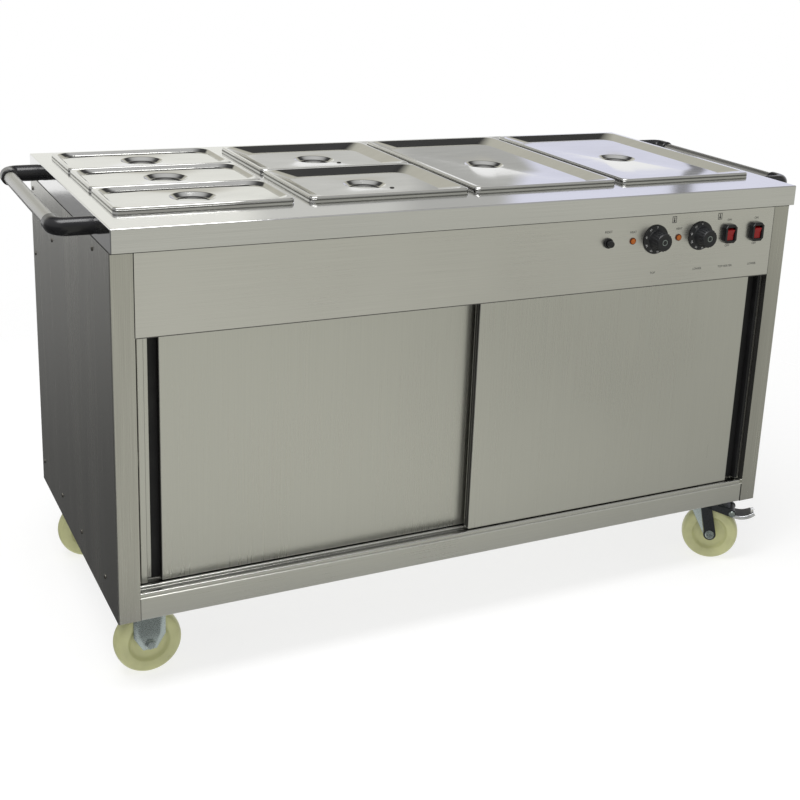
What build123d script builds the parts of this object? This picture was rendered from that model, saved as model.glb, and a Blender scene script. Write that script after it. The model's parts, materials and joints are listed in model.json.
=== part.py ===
from build123d import *

import os
from math import cos, radians, sin

os.makedirs("parts", exist_ok=True)

# Driving dimensions, in millimetres.
# The origin is on the floor under the middle of the whole trolley.
# X runs along its length, the doors face -Y and Z is up.

# Worktop and sheet metal
top_length = 1430.0
top_height = 870.0
skirt_height = 41.0
sheet = 1.5
inner_bend = 1.0

# Cabinet front
front_setback = 14.0
post_width = 40.0
fascia_height = 153.0
rail_height = 43.0
caster_height = 150.0
flange_width = 20.0

# Sliding doors
door_thickness = 18.0
door_sheet = 1.2
door_bend = 1.6
door_setback = 12.0
track_pitch = 26.0
door_overlap = 26.0
door_side_gap = 1.0
door_ajar = {"left": 10.0, "right": 0.0}
door_lift = 9.0
door_cover = 14.0
pull_lip = 12.0
pull_width = 26.0
pull_depth = 14.0

# Door tracks and glides
rib_width = 8.0
rib_height = 5.5
track_sheet = 2.0
track_inner = 22.0
track_lip = 6.0
lip_rise = 10.0
head_room = 16.0
track_flange = 14.0
glide_length = 40.0
glide_head = 10.0
glide_play = 1.0
glide_inset = 90.0

# Food pans and lids
pan_width = 325.0
pan_length = 530.0
pan_gap = 1.0
pan_depth = 100.0
pan_sheet = 1.0
pan_flange = 13.0
pan_rim_rise = 4.0
pan_corner = 12.0
bowl_corner = 30.0
bowl_draft = 4.0
bowl_floor_radius = 10.0
pan_pitch = 345.0
pan_rows = (3, 2, 1, 1)
pan_drift = (-3.0, 6.6, 0.0, -3.0)
well_front_border = 108.0
well_rear_border = 52.0
lid_sheet = 1.0
lid_rise = 5.0
lid_border = 8.0
lid_recess = 10.0
lid_slope = 30.0
small_lid_recess = 6.0
small_lid_slope = 12.0
lid_corner_inner = 32.0
lid_edge_radius = 2.0
dimple_radius = 37.0
dimple_floor_radius = 27.0
dimple_depth = 11.0

# Heated well
flange_seat = 6.0
tank_margin_x = 15.0
tank_margin_y = 12.0
tank_flange = 10.0
tank_depth = 160.0
bar_width = 14.0
bar_height = 12.0
bar_bearing = 10.0
fit_gap = 0.3
hair = 0.01

# Heating elements
element_diameter = 8.0
element_bend = 30.0
element_hole_gap = 0.4
collar_diameter = 20.0
collar_length = 6.0
terminal_length = 14.0
element_lift = 26.0
well_loop_right = 440.0
well_loop_left = 560.0
well_loop_front = 80.0
well_loop_back = 70.0
terminal_pitch = 80.0
guard_length = 900.0
guard_depth = 200.0
guard_height = 55.0
guard_foot = 15.0
guard_back_gap = 30.0
guard_margin = 24.0
slot_width = 8.0
slot_length = 60.0
slot_columns = 24
slot_pitch = 35.0
slot_row_pitch = 84.0

# Shelf
shelf_height = 440.0
shelf_edge = 25.0
shelf_end_gap = 2.0
shelf_setback = 10.0
bracket_leg = 25.0
bracket_sheet = 2.0
bracket_inset = 20.0

# Controls on the fascia, from left to right
control_drop = 95.0
reset_x = 259.0
lamp_x = (318.0, 430.0)
knob_x = (373.5, 485.5)
switch_x = (557.5, 628.5)
knob_reach = 33.0
knob_skirt_diameter = 60.0
knob_skirt = 3.0
knob_grip_diameter = 40.0
knob_tip_diameter = 36.0
knob_flute_diameter = 5.0
knob_flutes = 16
knob_gap = 0.6
knob_spigot = 14.0
shaft_diameter = 6.0
running_gap = 0.05
bushing_diameter = 10.0
bushing_reach = 4.0
bushing_room = 2.0
thermostat_side = 46.0
thermostat_depth = 34.0
hole_gap = 0.2
bezel_width = 31.0
bezel_height = 39.0
bezel_rise = 11.0
bezel_chamfer = 6.0
switch_width = 23.0
switch_height = 32.0
switch_depth = 28.0
window_width = 19.0
window_depth = 24.0
rocker_radius = 13.0
rocker_gap = 0.5
rocker_end = 8.5
rocker_valley = 6.0
rocker_back = 3.0
rocker_tilt = 9.0
rocker_pivot_drop = 6.0
rocker_pin_diameter = 3.0
rocker_pin_grip = 1.0
lamp_diameter = 14.0
lamp_flange = 2.0
lamp_dome = 3.0
lamp_neck_diameter = 11.6
lamp_depth = 22.0
lamp_taper = 20.0
collar_ring_diameter = 21.0
collar_ring = 5.0
reset_neck_diameter = 18.0
reset_bore_depth = 14.0
reset_depth = 26.0
button_diameter = 13.4
button_reach = 10.0
button_stem = 5.0
gland_diameter = 16.0
gland_nut = 24.0
gland_nut_length = 5.0
gland_dome_length = 14.0
gland_taper = 6.0
gland_cord_hole = 8.0
gland_height = 230.0
gland_back_inset = 60.0

# End handles
handle_tube_diameter = 25.0
handle_wall = 1.5
handle_arm_diameter = 32.0
handle_reach = 64.0
handle_drop = 18.0
handle_span = 466.0
handle_bend = 20.0
handle_collar = 22.0
socket_depth = 20.0

# Panel screws, as a share of the depth from the front, with the drop below the worktop of the upper ones
upper_screws = ((0.194, 64.0), (0.968, 68.0), (0.706, 134.0), (0.968, 205.0))
floor_screws = (0.158, 0.439, 0.697, 0.968)
floor_screw_rise = 5.0
screw_diameter = 4.0
screw_head_diameter = 9.0
screw_head = 2.0
screw_taper = 30.0
screw_length = 8.0

# Casters
fixed_end_inset = 71.0
fixed_side_inset = 97.0
swivel_end_inset = 100.0
swivel_side_inset = 80.0
swivel_yaw = (-38.0, -15.0)
swivel_trail = 30.0
wheel_diameter = 125.0
wheel_width = 36.0
tread_crown = 5.5
hub_diameter = 30.0
hub_width = 40.0
web_width = 26.0
web_step_width = 32.0
web_diameter = 68.0
web_step_diameter = 72.0
rim_diameter = 100.0
axle_diameter = 10.0
axle_head_diameter = 18.0
axle_head = 6.0
axle_hole_gap = 0.2
fork_gap = 42.0
fork_sheet = 3.0
fork_top_width = 60.0
fork_shoulder = 16.0
fork_toe_width = 26.0
fork_toe_drop = 12.0
swivel_top_width = 52.0
swivel_eye_radius = 14.0
plate_length = 100.0
plate_width = 85.0
plate_thickness = 3.0
plate_hole_pitch_x = 80.0
plate_hole_pitch_y = 60.0
caster_bolt_diameter = 8.0
caster_bolt_head = 5.0
caster_bolt_head_diameter = 14.0
caster_bolt_length = 16.0
cross_member_width = 110.0
cross_member_sheet = 2.5
race_diameter = 64.0
race_height = 6.0
race_gap = 0.5
crown_thickness = 4.0
kingpin_diameter = 12.0
kingpin_head_diameter = 24.0
kingpin_head = 4.0
pedal_pivot_forward = 44.0
pedal_pivot_up = 57.0
pedal_tube_radius = 7.0
pedal_pin_diameter = 8.0
pedal_pin_head_diameter = 14.0
pedal_pin_head = 4.0
pedal_ear_radius = 9.0
pedal_ear_root = 14.0
pedal_side_gap = 1.5
pedal_sheet = 3.0
pedal_length = 50.0
pedal_dip = 6.0
pedal_tip_rise = 8.0

# Places that follow from the sizes above
end_x = top_length / 2
top_depth = well_front_border + pan_length + well_rear_border
rear_y = (top_depth + knob_reach - front_setback) / 2
top_front_y = rear_y - top_depth
top_mid_y = rear_y - top_depth / 2
face_y = top_front_y + front_setback
panel_top = top_height - skirt_height
outer_bend = inner_bend + sheet
top_underside = top_height - sheet
opening_x = end_x - post_width
rail_top = caster_height + rail_height
fascia_bottom = panel_top - fascia_height
inner_end_x = end_x - sheet
inner_rear_y = rear_y - 2 * sheet
jamb_depth = door_setback + track_pitch + door_thickness + 4 * glide_play
jamb_y = face_y + jamb_depth
control_z = top_height - control_drop
door_width = opening_x + door_overlap / 2 - door_side_gap
door_bottom = rail_top + door_lift
door_top = fascia_bottom + door_cover
door_face_y = {"right": face_y + door_setback, "left": face_y + door_setback + track_pitch}
lip_z = door_top + lip_rise
column_x = [pan_pitch * (i - 1.5) + pan_drift[i] for i in range(len(pan_rows))]
well_mid_y = top_front_y + well_front_border + pan_length / 2
well_opening_x = pan_width - 2 * flange_seat
well_opening_y = pan_length - 2 * flange_seat
tank_left = column_x[0] - well_opening_x / 2 - tank_margin_x
tank_right = column_x[-1] + well_opening_x / 2 + tank_margin_x
tank_front = well_mid_y - well_opening_y / 2 - tank_margin_y
tank_back = well_mid_y + well_opening_y / 2 + tank_margin_y
tank_floor = top_underside - tank_depth
handle_z = top_height - handle_drop
fixed_x = -end_x + fixed_end_inset
fixed_y = (top_front_y + fixed_side_inset, rear_y - fixed_side_inset)
swivel_x = end_x - swivel_end_inset
swivel_y = (top_front_y + swivel_side_inset, rear_y - swivel_side_inset)
caster_rows = ((fixed_x, fixed_y), (swivel_x, swivel_y))
wheel_radius = wheel_diameter / 2
plate_bottom = caster_height - plate_thickness

# Sketch planes that face out of the fascia and out of each end
fascia_plane = Plane(origin=(0, face_y, 0), x_dir=(1, 0, 0), z_dir=(0, -1, 0))
left_plane = Plane(origin=(-end_x, 0, 0), x_dir=(0, -1, 0), z_dir=(-1, 0, 0))
right_plane = Plane(origin=(end_x, 0, 0), x_dir=(0, 1, 0), z_dir=(1, 0, 0))
section_plane = Plane(origin=(0, 0, 0), x_dir=(0, 1, 0), z_dir=(1, 0, 0))


def corner_box(first_x, first_y, second_x, second_y, mode=Mode.ADD):
    """A rectangle in the current sketch, given by two opposite corners in any order."""
    with Locations(((first_x + second_x) / 2, (first_y + second_y) / 2)):
        Rectangle(abs(second_x - first_x), abs(second_y - first_y), mode=mode)


# Worktop: a folded slab with one opening for each column of pans
with BuildPart() as worktop:
    with BuildSketch(Plane.XY.offset(panel_top)):
        corner_box(-end_x, top_front_y, end_x, rear_y)
    extrude(amount=skirt_height)
    top_edges = worktop.faces().sort_by(Axis.Z)[-1].edges()
    fillet(worktop.edges().filter_by(Axis.Z) + top_edges, outer_bend)
    with BuildSketch(Plane.XY.offset(panel_top)):
        corner_box(-inner_end_x, top_front_y + sheet, inner_end_x, rear_y - sheet)
        fillet(vertices(), inner_bend)
    extrude(amount=skirt_height - sheet, mode=Mode.SUBTRACT)
    with BuildSketch(Plane.XY.offset(top_underside)):
        with Locations(*[(x, well_mid_y) for x in column_x]):
            Rectangle(well_opening_x, well_opening_y)
    extrude(amount=sheet, mode=Mode.SUBTRACT)
worktop.part.label = "worktop"
export_step(worktop.part, "parts/worktop.step")

# End panels: side, front post with its jamb, and a rear flange
screw_points = [(top_front_y + share * top_depth, top_height - drop) for share, drop in upper_screws]
screw_points += [(top_front_y + share * top_depth, rail_top + floor_screw_rise) for share in floor_screws]
for side_name, side in (("left", -1), ("right", 1)):
    with BuildPart() as end_panel:
        with BuildSketch(Plane.XY.offset(caster_height)):
            with Locations((side * (end_x - sheet / 2), (face_y + rear_y) / 2)):
                Rectangle(sheet, rear_y - face_y)
            with Locations((side * (end_x - post_width / 2), face_y + sheet / 2)):
                Rectangle(post_width, sheet)
            with Locations((side * (end_x - flange_width / 2), inner_rear_y + sheet / 2)):
                Rectangle(flange_width, sheet)
        extrude(amount=panel_top - caster_height)
        for x, radius in ((side * end_x, outer_bend), (side * inner_end_x, inner_bend)):
            upright = end_panel.edges().filter_by(Axis.Z)
            fillet(upright.filter_by_position(Axis.X, x - hair, x + hair).sort_by(Axis.Y)[0], radius)
        with BuildSketch(Plane.XY.offset(rail_top - sheet)):
            with Locations((side * (opening_x + sheet / 2), face_y + jamb_depth / 2)):
                Rectangle(sheet, jamb_depth)
        extrude(amount=panel_top - rail_top + sheet)
        with BuildSketch(left_plane if side < 0 else right_plane):
            with Locations(*[(side * y, z) for y, z in screw_points]):
                Circle(screw_diameter / 2 + hole_gap)
            if side > 0:
                with Locations((rear_y - gland_back_inset, gland_height)):
                    Circle(gland_diameter / 2 + hole_gap)
        extrude(amount=-sheet, mode=Mode.SUBTRACT)
    end_panel.part.label = f"{side_name}_end_panel"
    export_step(end_panel.part, f"parts/{side_name}_end_panel.step")

# Rear panel: one flat sheet between the two sides
with BuildPart() as rear_panel:
    with BuildSketch(Plane.XY.offset(caster_height)):
        corner_box(-inner_end_x, rear_y - sheet, inner_end_x, rear_y)
    extrude(amount=panel_top - caster_height)
rear_panel.part.label = "rear_panel"
export_step(rear_panel.part, "parts/rear_panel.step")

# Fascia: the control panel, folded back at its top and bottom edges
with BuildPart() as front_fascia:
    with BuildSketch(section_plane.offset(-opening_x)):
        corner_box(face_y, fascia_bottom, face_y + sheet, top_underside)
        corner_box(face_y, fascia_bottom, face_y + door_setback - 2 * glide_play, fascia_bottom + sheet)
        corner_box(face_y, top_underside - sheet, face_y + flange_width, top_underside)
    extrude(amount=2 * opening_x)
    for z, radius in ((fascia_bottom, outer_bend), (fascia_bottom + sheet, inner_bend)):
        level = front_fascia.edges().filter_by(Axis.X).filter_by_position(Axis.Z, z - hair, z + hair)
        fillet(level.sort_by(Axis.Y)[0], radius)
    with BuildSketch(fascia_plane):
        with Locations(*[(x, control_z) for x in knob_x]):
            Circle(bushing_diameter / 2 + hole_gap)
        with Locations(*[(x, control_z) for x in lamp_x]):
            Circle(lamp_neck_diameter / 2 + hole_gap)
        with Locations((reset_x, control_z)):
            Circle(reset_neck_diameter / 2 + hole_gap)
        with Locations(*[(x, control_z) for x in switch_x]):
            Rectangle(switch_width + 2 * hole_gap, switch_height + 2 * hole_gap)
    extrude(amount=-sheet, mode=Mode.SUBTRACT)
front_fascia.part.label = "front_fascia"
export_step(front_fascia.part, "parts/front_fascia.step")

# Base pan: cupboard floor, turned down into the front rail and up at the other sides
with BuildPart() as base_pan:
    with BuildSketch(Plane.XY.offset(rail_top - sheet)):
        corner_box(-opening_x, face_y, opening_x, jamb_y)
        corner_box(-inner_end_x, jamb_y, inner_end_x, inner_rear_y)
    extrude(amount=sheet)
    with BuildSketch(Plane.XY.offset(caster_height)):
        corner_box(-opening_x, face_y, opening_x, face_y + sheet)
    extrude(amount=rail_height)
    with BuildSketch(Plane.XY.offset(caster_height)):
        corner_box(-opening_x, face_y, opening_x, face_y + flange_width)
    extrude(amount=sheet)
    rail_edges = base_pan.edges().filter_by(Axis.X).group_by(Axis.Y)[0].sort_by(Axis.Z)
    fillet([rail_edges[0], rail_edges[-1]], outer_bend)
    with BuildSketch(Plane.XY.offset(rail_top)):
        corner_box(-inner_end_x, jamb_y, -inner_end_x + sheet, inner_rear_y)
        corner_box(inner_end_x - sheet, jamb_y, inner_end_x, inner_rear_y)
        corner_box(-inner_end_x, inner_rear_y - sheet, inner_end_x, inner_rear_y)
    extrude(amount=flange_width)
    with BuildSketch(Plane.YZ):
        with Locations(*[(y, z) for y, z in screw_points]):
            Circle(screw_diameter / 2 + hole_gap)
    extrude(amount=end_x, both=True, mode=Mode.SUBTRACT)
base_pan.part.label = "base_pan"
export_step(base_pan.part, "parts/base_pan.step")

# Cross members: a channel under the floor for each pair of casters
with BuildPart() as base_cross_members:
    half = cross_member_width / 2
    for x, caster_y in caster_rows:
        with BuildSketch(Plane.XY.offset(caster_height)):
            corner_box(x - half, face_y + flange_width, x + half, inner_rear_y)
        extrude(amount=rail_height - sheet)
        with BuildSketch(Plane.XY.offset(caster_height + cross_member_sheet)):
            corner_box(
                x - half + cross_member_sheet,
                face_y + flange_width,
                x + half - cross_member_sheet,
                inner_rear_y,
            )
        extrude(amount=rail_height, mode=Mode.SUBTRACT)
        with BuildSketch(Plane.XY.offset(caster_height)):
            for y in caster_y:
                with Locations((x, y)):
                    with GridLocations(plate_hole_pitch_x, plate_hole_pitch_y, 2, 2):
                        Circle(caster_bolt_diameter / 2 + hole_gap)
        extrude(amount=cross_member_sheet, mode=Mode.SUBTRACT)
base_cross_members.part.label = "base_cross_members"
export_step(base_cross_members.part, "parts/base_cross_members.step")

# Well tank: the heated trough under the pans, hung from the worktop by its flange
element_terminal_x = (well_loop_right - terminal_pitch, well_loop_right)
well_element_z = tank_floor + sheet + element_lift
with BuildPart() as well_tank:
    with BuildSketch(Plane.XY.offset(tank_floor)):
        corner_box(tank_left, tank_front, tank_right, tank_back)
    extrude(amount=tank_depth)
    with BuildSketch(Plane.XY.offset(top_underside - sheet)):
        corner_box(
            tank_left - tank_flange,
            tank_front - tank_flange,
            tank_right + tank_flange,
            tank_back + tank_flange,
        )
    extrude(amount=sheet)
    with BuildSketch(Plane.XY.offset(tank_floor + sheet)):
        corner_box(tank_left + sheet, tank_front + sheet, tank_right - sheet, tank_back - sheet)
    extrude(amount=tank_depth, mode=Mode.SUBTRACT)
    with BuildSketch(Plane.XZ.offset(-tank_front)):
        with Locations(*[(x, well_element_z) for x in element_terminal_x]):
            Circle(element_diameter / 2 + element_hole_gap)
    extrude(amount=-sheet, mode=Mode.SUBTRACT)
well_tank.part.label = "well_tank"
export_step(well_tank.part, "parts/well_tank.step")

# Support bars: raised bars across the openings that hold more than one pan
with BuildPart() as pan_support_bars:
    for x, rows in zip(column_x, pan_rows):
        row_pitch = (pan_length + pan_gap) / rows
        for row in range(1, rows):
            bar_y = well_mid_y - (pan_length + pan_gap) / 2 + row * row_pitch
            with BuildSketch(Plane.XY.offset(top_underside - bar_height)):
                with Locations((x, bar_y)):
                    Rectangle(well_opening_x + 2 * bar_bearing, bar_width)
            extrude(amount=bar_height)
            with BuildSketch(Plane.XY.offset(top_underside)):
                with Locations((x, bar_y)):
                    Rectangle(well_opening_x - 2 * fit_gap, bar_width)
            extrude(amount=sheet)
            with BuildSketch(Plane.XY.offset(top_underside - bar_height)):
                with Locations((x, bar_y)):
                    Rectangle(well_opening_x + 2 * bar_bearing, bar_width - 2 * sheet)
            extrude(amount=bar_height - sheet, mode=Mode.SUBTRACT)
pan_support_bars.part.label = "pan_support_bars"
export_step(pan_support_bars.part, "parts/pan_support_bars.step")

# Well element: a bent heating rod whose ends pass through the front of the tank
with BuildPart() as well_heating_element:
    loop_front = tank_front + well_loop_front
    loop_back = tank_back - well_loop_back
    terminal_y = tank_front - terminal_length
    with BuildLine():
        route = FilletPolyline(
            (element_terminal_x[1], terminal_y, well_element_z),
            (element_terminal_x[1], loop_back, well_element_z),
            (-well_loop_left, loop_back, well_element_z),
            (-well_loop_left, loop_front, well_element_z),
            (element_terminal_x[0], loop_front, well_element_z),
            (element_terminal_x[0], terminal_y, well_element_z),
            radius=element_bend,
        )
    with BuildSketch(Plane(origin=route @ 0, z_dir=route % 0)):
        Circle(element_diameter / 2)
    sweep()
    with BuildSketch(Plane.XZ.offset(-tank_front - sheet)):
        with Locations(*[(x, well_element_z) for x in element_terminal_x]):
            Circle(collar_diameter / 2)
    extrude(amount=-collar_length)
    with BuildSketch(Plane.XZ.offset(-tank_front)):
        with Locations(*[(x, well_element_z) for x in element_terminal_x]):
            Circle(collar_diameter / 2)
    extrude(amount=collar_length)
well_heating_element.part.label = "well_heating_element"
export_step(well_heating_element.part, "parts/well_heating_element.step")

# Cupboard element: a second rod that stands on the floor on four feet
guard_back = inner_rear_y - sheet - guard_back_gap
guard_front = guard_back - guard_depth
rod_z = rail_top + element_lift
rod_x = guard_length / 2 - guard_margin
rod_front = guard_front + sheet + guard_margin
rod_back = guard_back - sheet - guard_margin
with BuildPart() as cupboard_heating_element:
    with BuildLine():
        route = FilletPolyline(
            (rod_x, rod_front, rod_z),
            (-rod_x, rod_front, rod_z),
            (-rod_x, rod_back, rod_z),
            (rod_x, rod_back, rod_z),
            radius=element_bend,
        )
    with BuildSketch(Plane(origin=route @ 0, z_dir=route % 0)):
        Circle(element_diameter / 2)
    sweep()
    with BuildSketch(Plane.XY.offset(rail_top)):
        foot_x = rod_x - element_bend - collar_diameter
        with Locations(*[(x, y) for x in (-foot_x, foot_x) for y in (rod_front, rod_back)]):
            Circle(collar_diameter / 2)
    extrude(amount=element_lift)
cupboard_heating_element.part.label = "cupboard_heating_element"
export_step(cupboard_heating_element.part, "parts/cupboard_heating_element.step")

# Element guard: a slotted cover over the rod, standing on two feet
with BuildPart() as element_guard:
    guard_top = rail_top + guard_height
    with BuildSketch(section_plane.offset(-guard_length / 2)):
        corner_box(guard_front, rail_top, guard_back, guard_top)
        corner_box(guard_front + sheet, rail_top, guard_back - sheet, guard_top - sheet, Mode.SUBTRACT)
        corner_box(guard_front - guard_foot, rail_top, guard_front + sheet, rail_top + sheet)
        corner_box(guard_back - sheet, rail_top, guard_back + guard_foot, rail_top + sheet)
    extrude(amount=guard_length)
    with BuildSketch(Plane.XY.offset(guard_top - sheet)):
        with Locations((0, (guard_front + guard_back) / 2)):
            with GridLocations(slot_pitch, slot_row_pitch, slot_columns, 2):
                SlotOverall(slot_length, slot_width, rotation=90)
    extrude(amount=sheet, mode=Mode.SUBTRACT)
element_guard.part.label = "element_guard"
export_step(element_guard.part, "parts/element_guard.step")

# Middle shelf and the two angles that carry it
shelf_front = jamb_y + shelf_setback
shelf_back = inner_rear_y - shelf_setback
shelf_x = inner_end_x - shelf_end_gap
with BuildPart() as middle_shelf:
    with BuildSketch(section_plane.offset(-shelf_x)):
        corner_box(shelf_front, shelf_height - sheet, shelf_back, shelf_height)
        corner_box(shelf_front, shelf_height - shelf_edge, shelf_front + sheet, shelf_height)
        corner_box(shelf_back - sheet, shelf_height - shelf_edge, shelf_back, shelf_height)
    extrude(amount=2 * shelf_x)
middle_shelf.part.label = "middle_shelf"
export_step(middle_shelf.part, "parts/middle_shelf.step")

with BuildPart() as shelf_brackets:
    angle_top = shelf_height - sheet
    angle_front = shelf_front + bracket_inset
    angle_back = shelf_back - bracket_inset
    for side in (-1, 1):
        with BuildSketch(Plane.XZ.offset(-angle_back)):
            with Locations((side * (inner_end_x - bracket_leg / 2), angle_top - bracket_sheet / 2)):
                Rectangle(bracket_leg, bracket_sheet)
            with Locations((side * (inner_end_x - bracket_sheet / 2), angle_top - bracket_leg / 2)):
                Rectangle(bracket_sheet, bracket_leg)
        extrude(amount=angle_back - angle_front)
shelf_brackets.part.label = "shelf_brackets"
export_step(shelf_brackets.part, "parts/shelf_brackets.step")

# Bottom track: three ribs on the floor that guide the two doors
door_mid_y = {name: y + door_thickness / 2 for name, y in door_face_y.items()}
rib_mid_y = [door_mid_y["right"] + track_pitch * (i - 0.5) for i in range(3)]
with BuildPart() as bottom_door_track:
    with BuildSketch(section_plane.offset(-opening_x)):
        corner_box(rib_mid_y[0] - rib_width / 2, rail_top, rib_mid_y[2] + rib_width / 2, rail_top + sheet)
        for y in rib_mid_y:
            corner_box(y - rib_width / 2, rail_top, y + rib_width / 2, rail_top + sheet + rib_height)
    extrude(amount=2 * opening_x)
bottom_door_track.part.label = "bottom_door_track"
export_step(bottom_door_track.part, "parts/bottom_door_track.step")

# Top track: two lipped channels behind the fascia, from which the doors hang
channel_top = lip_z + head_room
with BuildPart() as top_door_track:
    with BuildSketch(section_plane.offset(-opening_x)):
        back = door_mid_y["left"] + track_inner / 2 + track_sheet
        corner_box(face_y + sheet, channel_top, back, channel_top + track_sheet)
        corner_box(face_y + sheet, channel_top, face_y + sheet + track_sheet, channel_top + track_flange)
        for y in door_mid_y.values():
            half = track_inner / 2
            corner_box(y - half - track_sheet, lip_z, y - half, channel_top)
            corner_box(y + half, lip_z, y + half + track_sheet, channel_top)
            corner_box(y - half, lip_z, y - half + track_lip, lip_z + track_sheet)
            corner_box(y + half - track_lip, lip_z, y + half, lip_z + track_sheet)
    extrude(amount=2 * opening_x)
top_door_track.part.label = "top_door_track"
export_step(top_door_track.part, "parts/top_door_track.step")

# Doors: a folded skin with a finger channel, a flat back and nylon glides
for door_name, side in (("left", -1), ("right", 1)):
    face = door_face_y[door_name]
    back_face = face + door_thickness - door_sheet
    outer = side * (opening_x - door_side_gap - door_ajar[door_name])
    inner = outer - side * door_width
    lip = outer - side * pull_lip
    pull = lip - side * pull_width
    skin = side * door_sheet
    pull_floor = face + pull_depth + door_sheet

    with BuildPart() as door_skin:
        with BuildSketch(Plane.XY.offset(door_bottom)):
            corner_box(outer, face, inner, back_face)
            corner_box(lip, face, pull, face + pull_depth, Mode.SUBTRACT)
        extrude(amount=door_top - door_bottom)
        fillet(door_skin.edges().filter_by(Axis.Z).group_by(Axis.Y)[0], door_bend)
        with BuildSketch(Plane.XY.offset(door_bottom + door_sheet)):
            corner_box(inner + skin, face + door_sheet, pull - skin, back_face)
            corner_box(pull - skin, pull_floor, lip + skin, back_face)
            corner_box(lip + skin, face + door_sheet, outer - skin, back_face)
        extrude(amount=door_top - door_bottom - 2 * door_sheet, mode=Mode.SUBTRACT)
    door_skin.part.label = f"{door_name}_door_skin"
    export_step(door_skin.part, f"parts/{door_name}_door_skin.step")

    with BuildPart() as door_back:
        with BuildSketch(Plane.XY.offset(door_bottom)):
            corner_box(outer, back_face, inner, back_face + door_sheet)
        extrude(amount=door_top - door_bottom)
    door_back.part.label = f"{door_name}_door_back"
    export_step(door_back.part, f"parts/{door_name}_door_back.step")

    mid = door_mid_y[door_name]
    stem_half = track_inner / 2 - track_lip - glide_play
    head_half = track_inner / 2 - glide_play
    shoe_half = (track_pitch - rib_width) / 2 - glide_play
    head_bottom = lip_z + track_sheet
    shoe_bottom = rail_top + sheet + glide_play
    with BuildPart() as door_glides:
        for x in (outer - side * glide_inset, inner + side * glide_inset):
            with BuildSketch(section_plane.offset(x - glide_length / 2)):
                corner_box(mid - stem_half, door_top, mid + stem_half, head_bottom)
                corner_box(mid - head_half, head_bottom, mid + head_half, head_bottom + glide_head)
                corner_box(mid - shoe_half, shoe_bottom, mid + shoe_half, door_bottom)
            extrude(amount=glide_length)
    door_glides.part.label = f"{door_name}_door_glides"
    export_step(door_glides.part, f"parts/{door_name}_door_glides.step")

# Pans and lids: one column of three, one of two and two of a single pan
pan_rim_top = top_height + pan_rim_rise
lid_top = pan_rim_top + lid_rise
row_names = {1: ("full",), 2: ("half_front", "half_back"), 3: ("third_front", "third_middle", "third_back")}
column_names = ("first", "second", "third", "fourth")
for column, rows in enumerate(pan_rows):
    x = column_x[column]
    depth = (pan_length - (rows - 1) * pan_gap) / rows
    slope = small_lid_slope if rows == 3 else lid_slope
    lid_panel = lid_top - (small_lid_recess if rows == 3 else lid_recess)
    for row, row_name in enumerate(row_names[rows]):
        y = well_mid_y - pan_length / 2 + depth / 2 + row * (depth + pan_gap)
        place = f"{column_names[column]}_{row_name}"

        with BuildPart() as pan:
            for wall, mode in ((0.0, Mode.ADD), (pan_sheet, Mode.SUBTRACT)):
                inset = pan_flange + wall
                with BuildSketch(Plane.XY.offset(pan_rim_top)):
                    with Locations((x, y)):
                        RectangleRounded(pan_width - 2 * inset, depth - 2 * inset, bowl_corner - wall)
                extrude(amount=wall - pan_depth, taper=bowl_draft, mode=mode)
            fillet(pan.faces().filter_by(Axis.Z).sort_by(Axis.Z)[1].edges(), bowl_floor_radius - pan_sheet)
            fillet(pan.faces().sort_by(Axis.Z)[0].edges(), bowl_floor_radius)
            with BuildSketch(Plane.XY.offset(pan_rim_top - pan_sheet)):
                with Locations((x, y)):
                    RectangleRounded(pan_width, depth, pan_corner)
                    RectangleRounded(
                        pan_width - 2 * pan_flange - pan_sheet,
                        depth - 2 * pan_flange - pan_sheet,
                        bowl_corner - pan_sheet / 2,
                        mode=Mode.SUBTRACT,
                    )
            extrude(amount=pan_sheet)
            with BuildSketch(Plane.XY.offset(top_height)):
                with Locations((x, y)):
                    RectangleRounded(pan_width, depth, pan_corner)
                    RectangleRounded(
                        pan_width - 2 * pan_sheet,
                        depth - 2 * pan_sheet,
                        pan_corner - pan_sheet,
                        mode=Mode.SUBTRACT,
                    )
            extrude(amount=pan_rim_rise)
        pan.part.label = f"{place}_pan"
        export_step(pan.part, f"parts/{place}_pan.step")

        with BuildPart() as lid:
            with BuildSketch(Plane.XY.offset(pan_rim_top)):
                with Locations((x, y)):
                    RectangleRounded(pan_width, depth, pan_corner)
            extrude(amount=lid_rise)
            fillet(lid.faces().sort_by(Axis.Z)[-1].edges(), lid_edge_radius)
            with BuildSketch(Plane.XY.offset(pan_rim_top)):
                with Locations((x, y)):
                    RectangleRounded(
                        pan_width - 2 * lid_sheet,
                        depth - 2 * lid_sheet,
                        pan_corner - lid_sheet,
                    )
            extrude(amount=lid_rise - lid_sheet, mode=Mode.SUBTRACT)
            for shell, mode in ((lid_sheet, Mode.ADD), (0.0, Mode.SUBTRACT)):
                rim = lid_border - shell
                floor = lid_border + slope - shell
                with BuildSketch(Plane.XY.offset(lid_top - shell)):
                    with Locations((x, y)):
                        RectangleRounded(pan_width - 2 * rim, depth - 2 * rim, bowl_corner)
                with BuildSketch(Plane.XY.offset(lid_panel - shell)):
                    with Locations((x, y)):
                        RectangleRounded(pan_width - 2 * floor, depth - 2 * floor, lid_corner_inner)
                loft(ruled=True, mode=mode)
            for shell, mode in ((lid_sheet, Mode.ADD), (0.0, Mode.SUBTRACT)):
                with Locations((x, y, lid_panel)):
                    Cone(
                        dimple_floor_radius + shell,
                        dimple_radius + shell,
                        dimple_depth + shell,
                        align=(Align.CENTER, Align.CENTER, Align.MAX),
                        mode=mode,
                    )
        lid.part.label = f"{place}_lid"
        export_step(lid.part, f"parts/{place}_lid.step")

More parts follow.
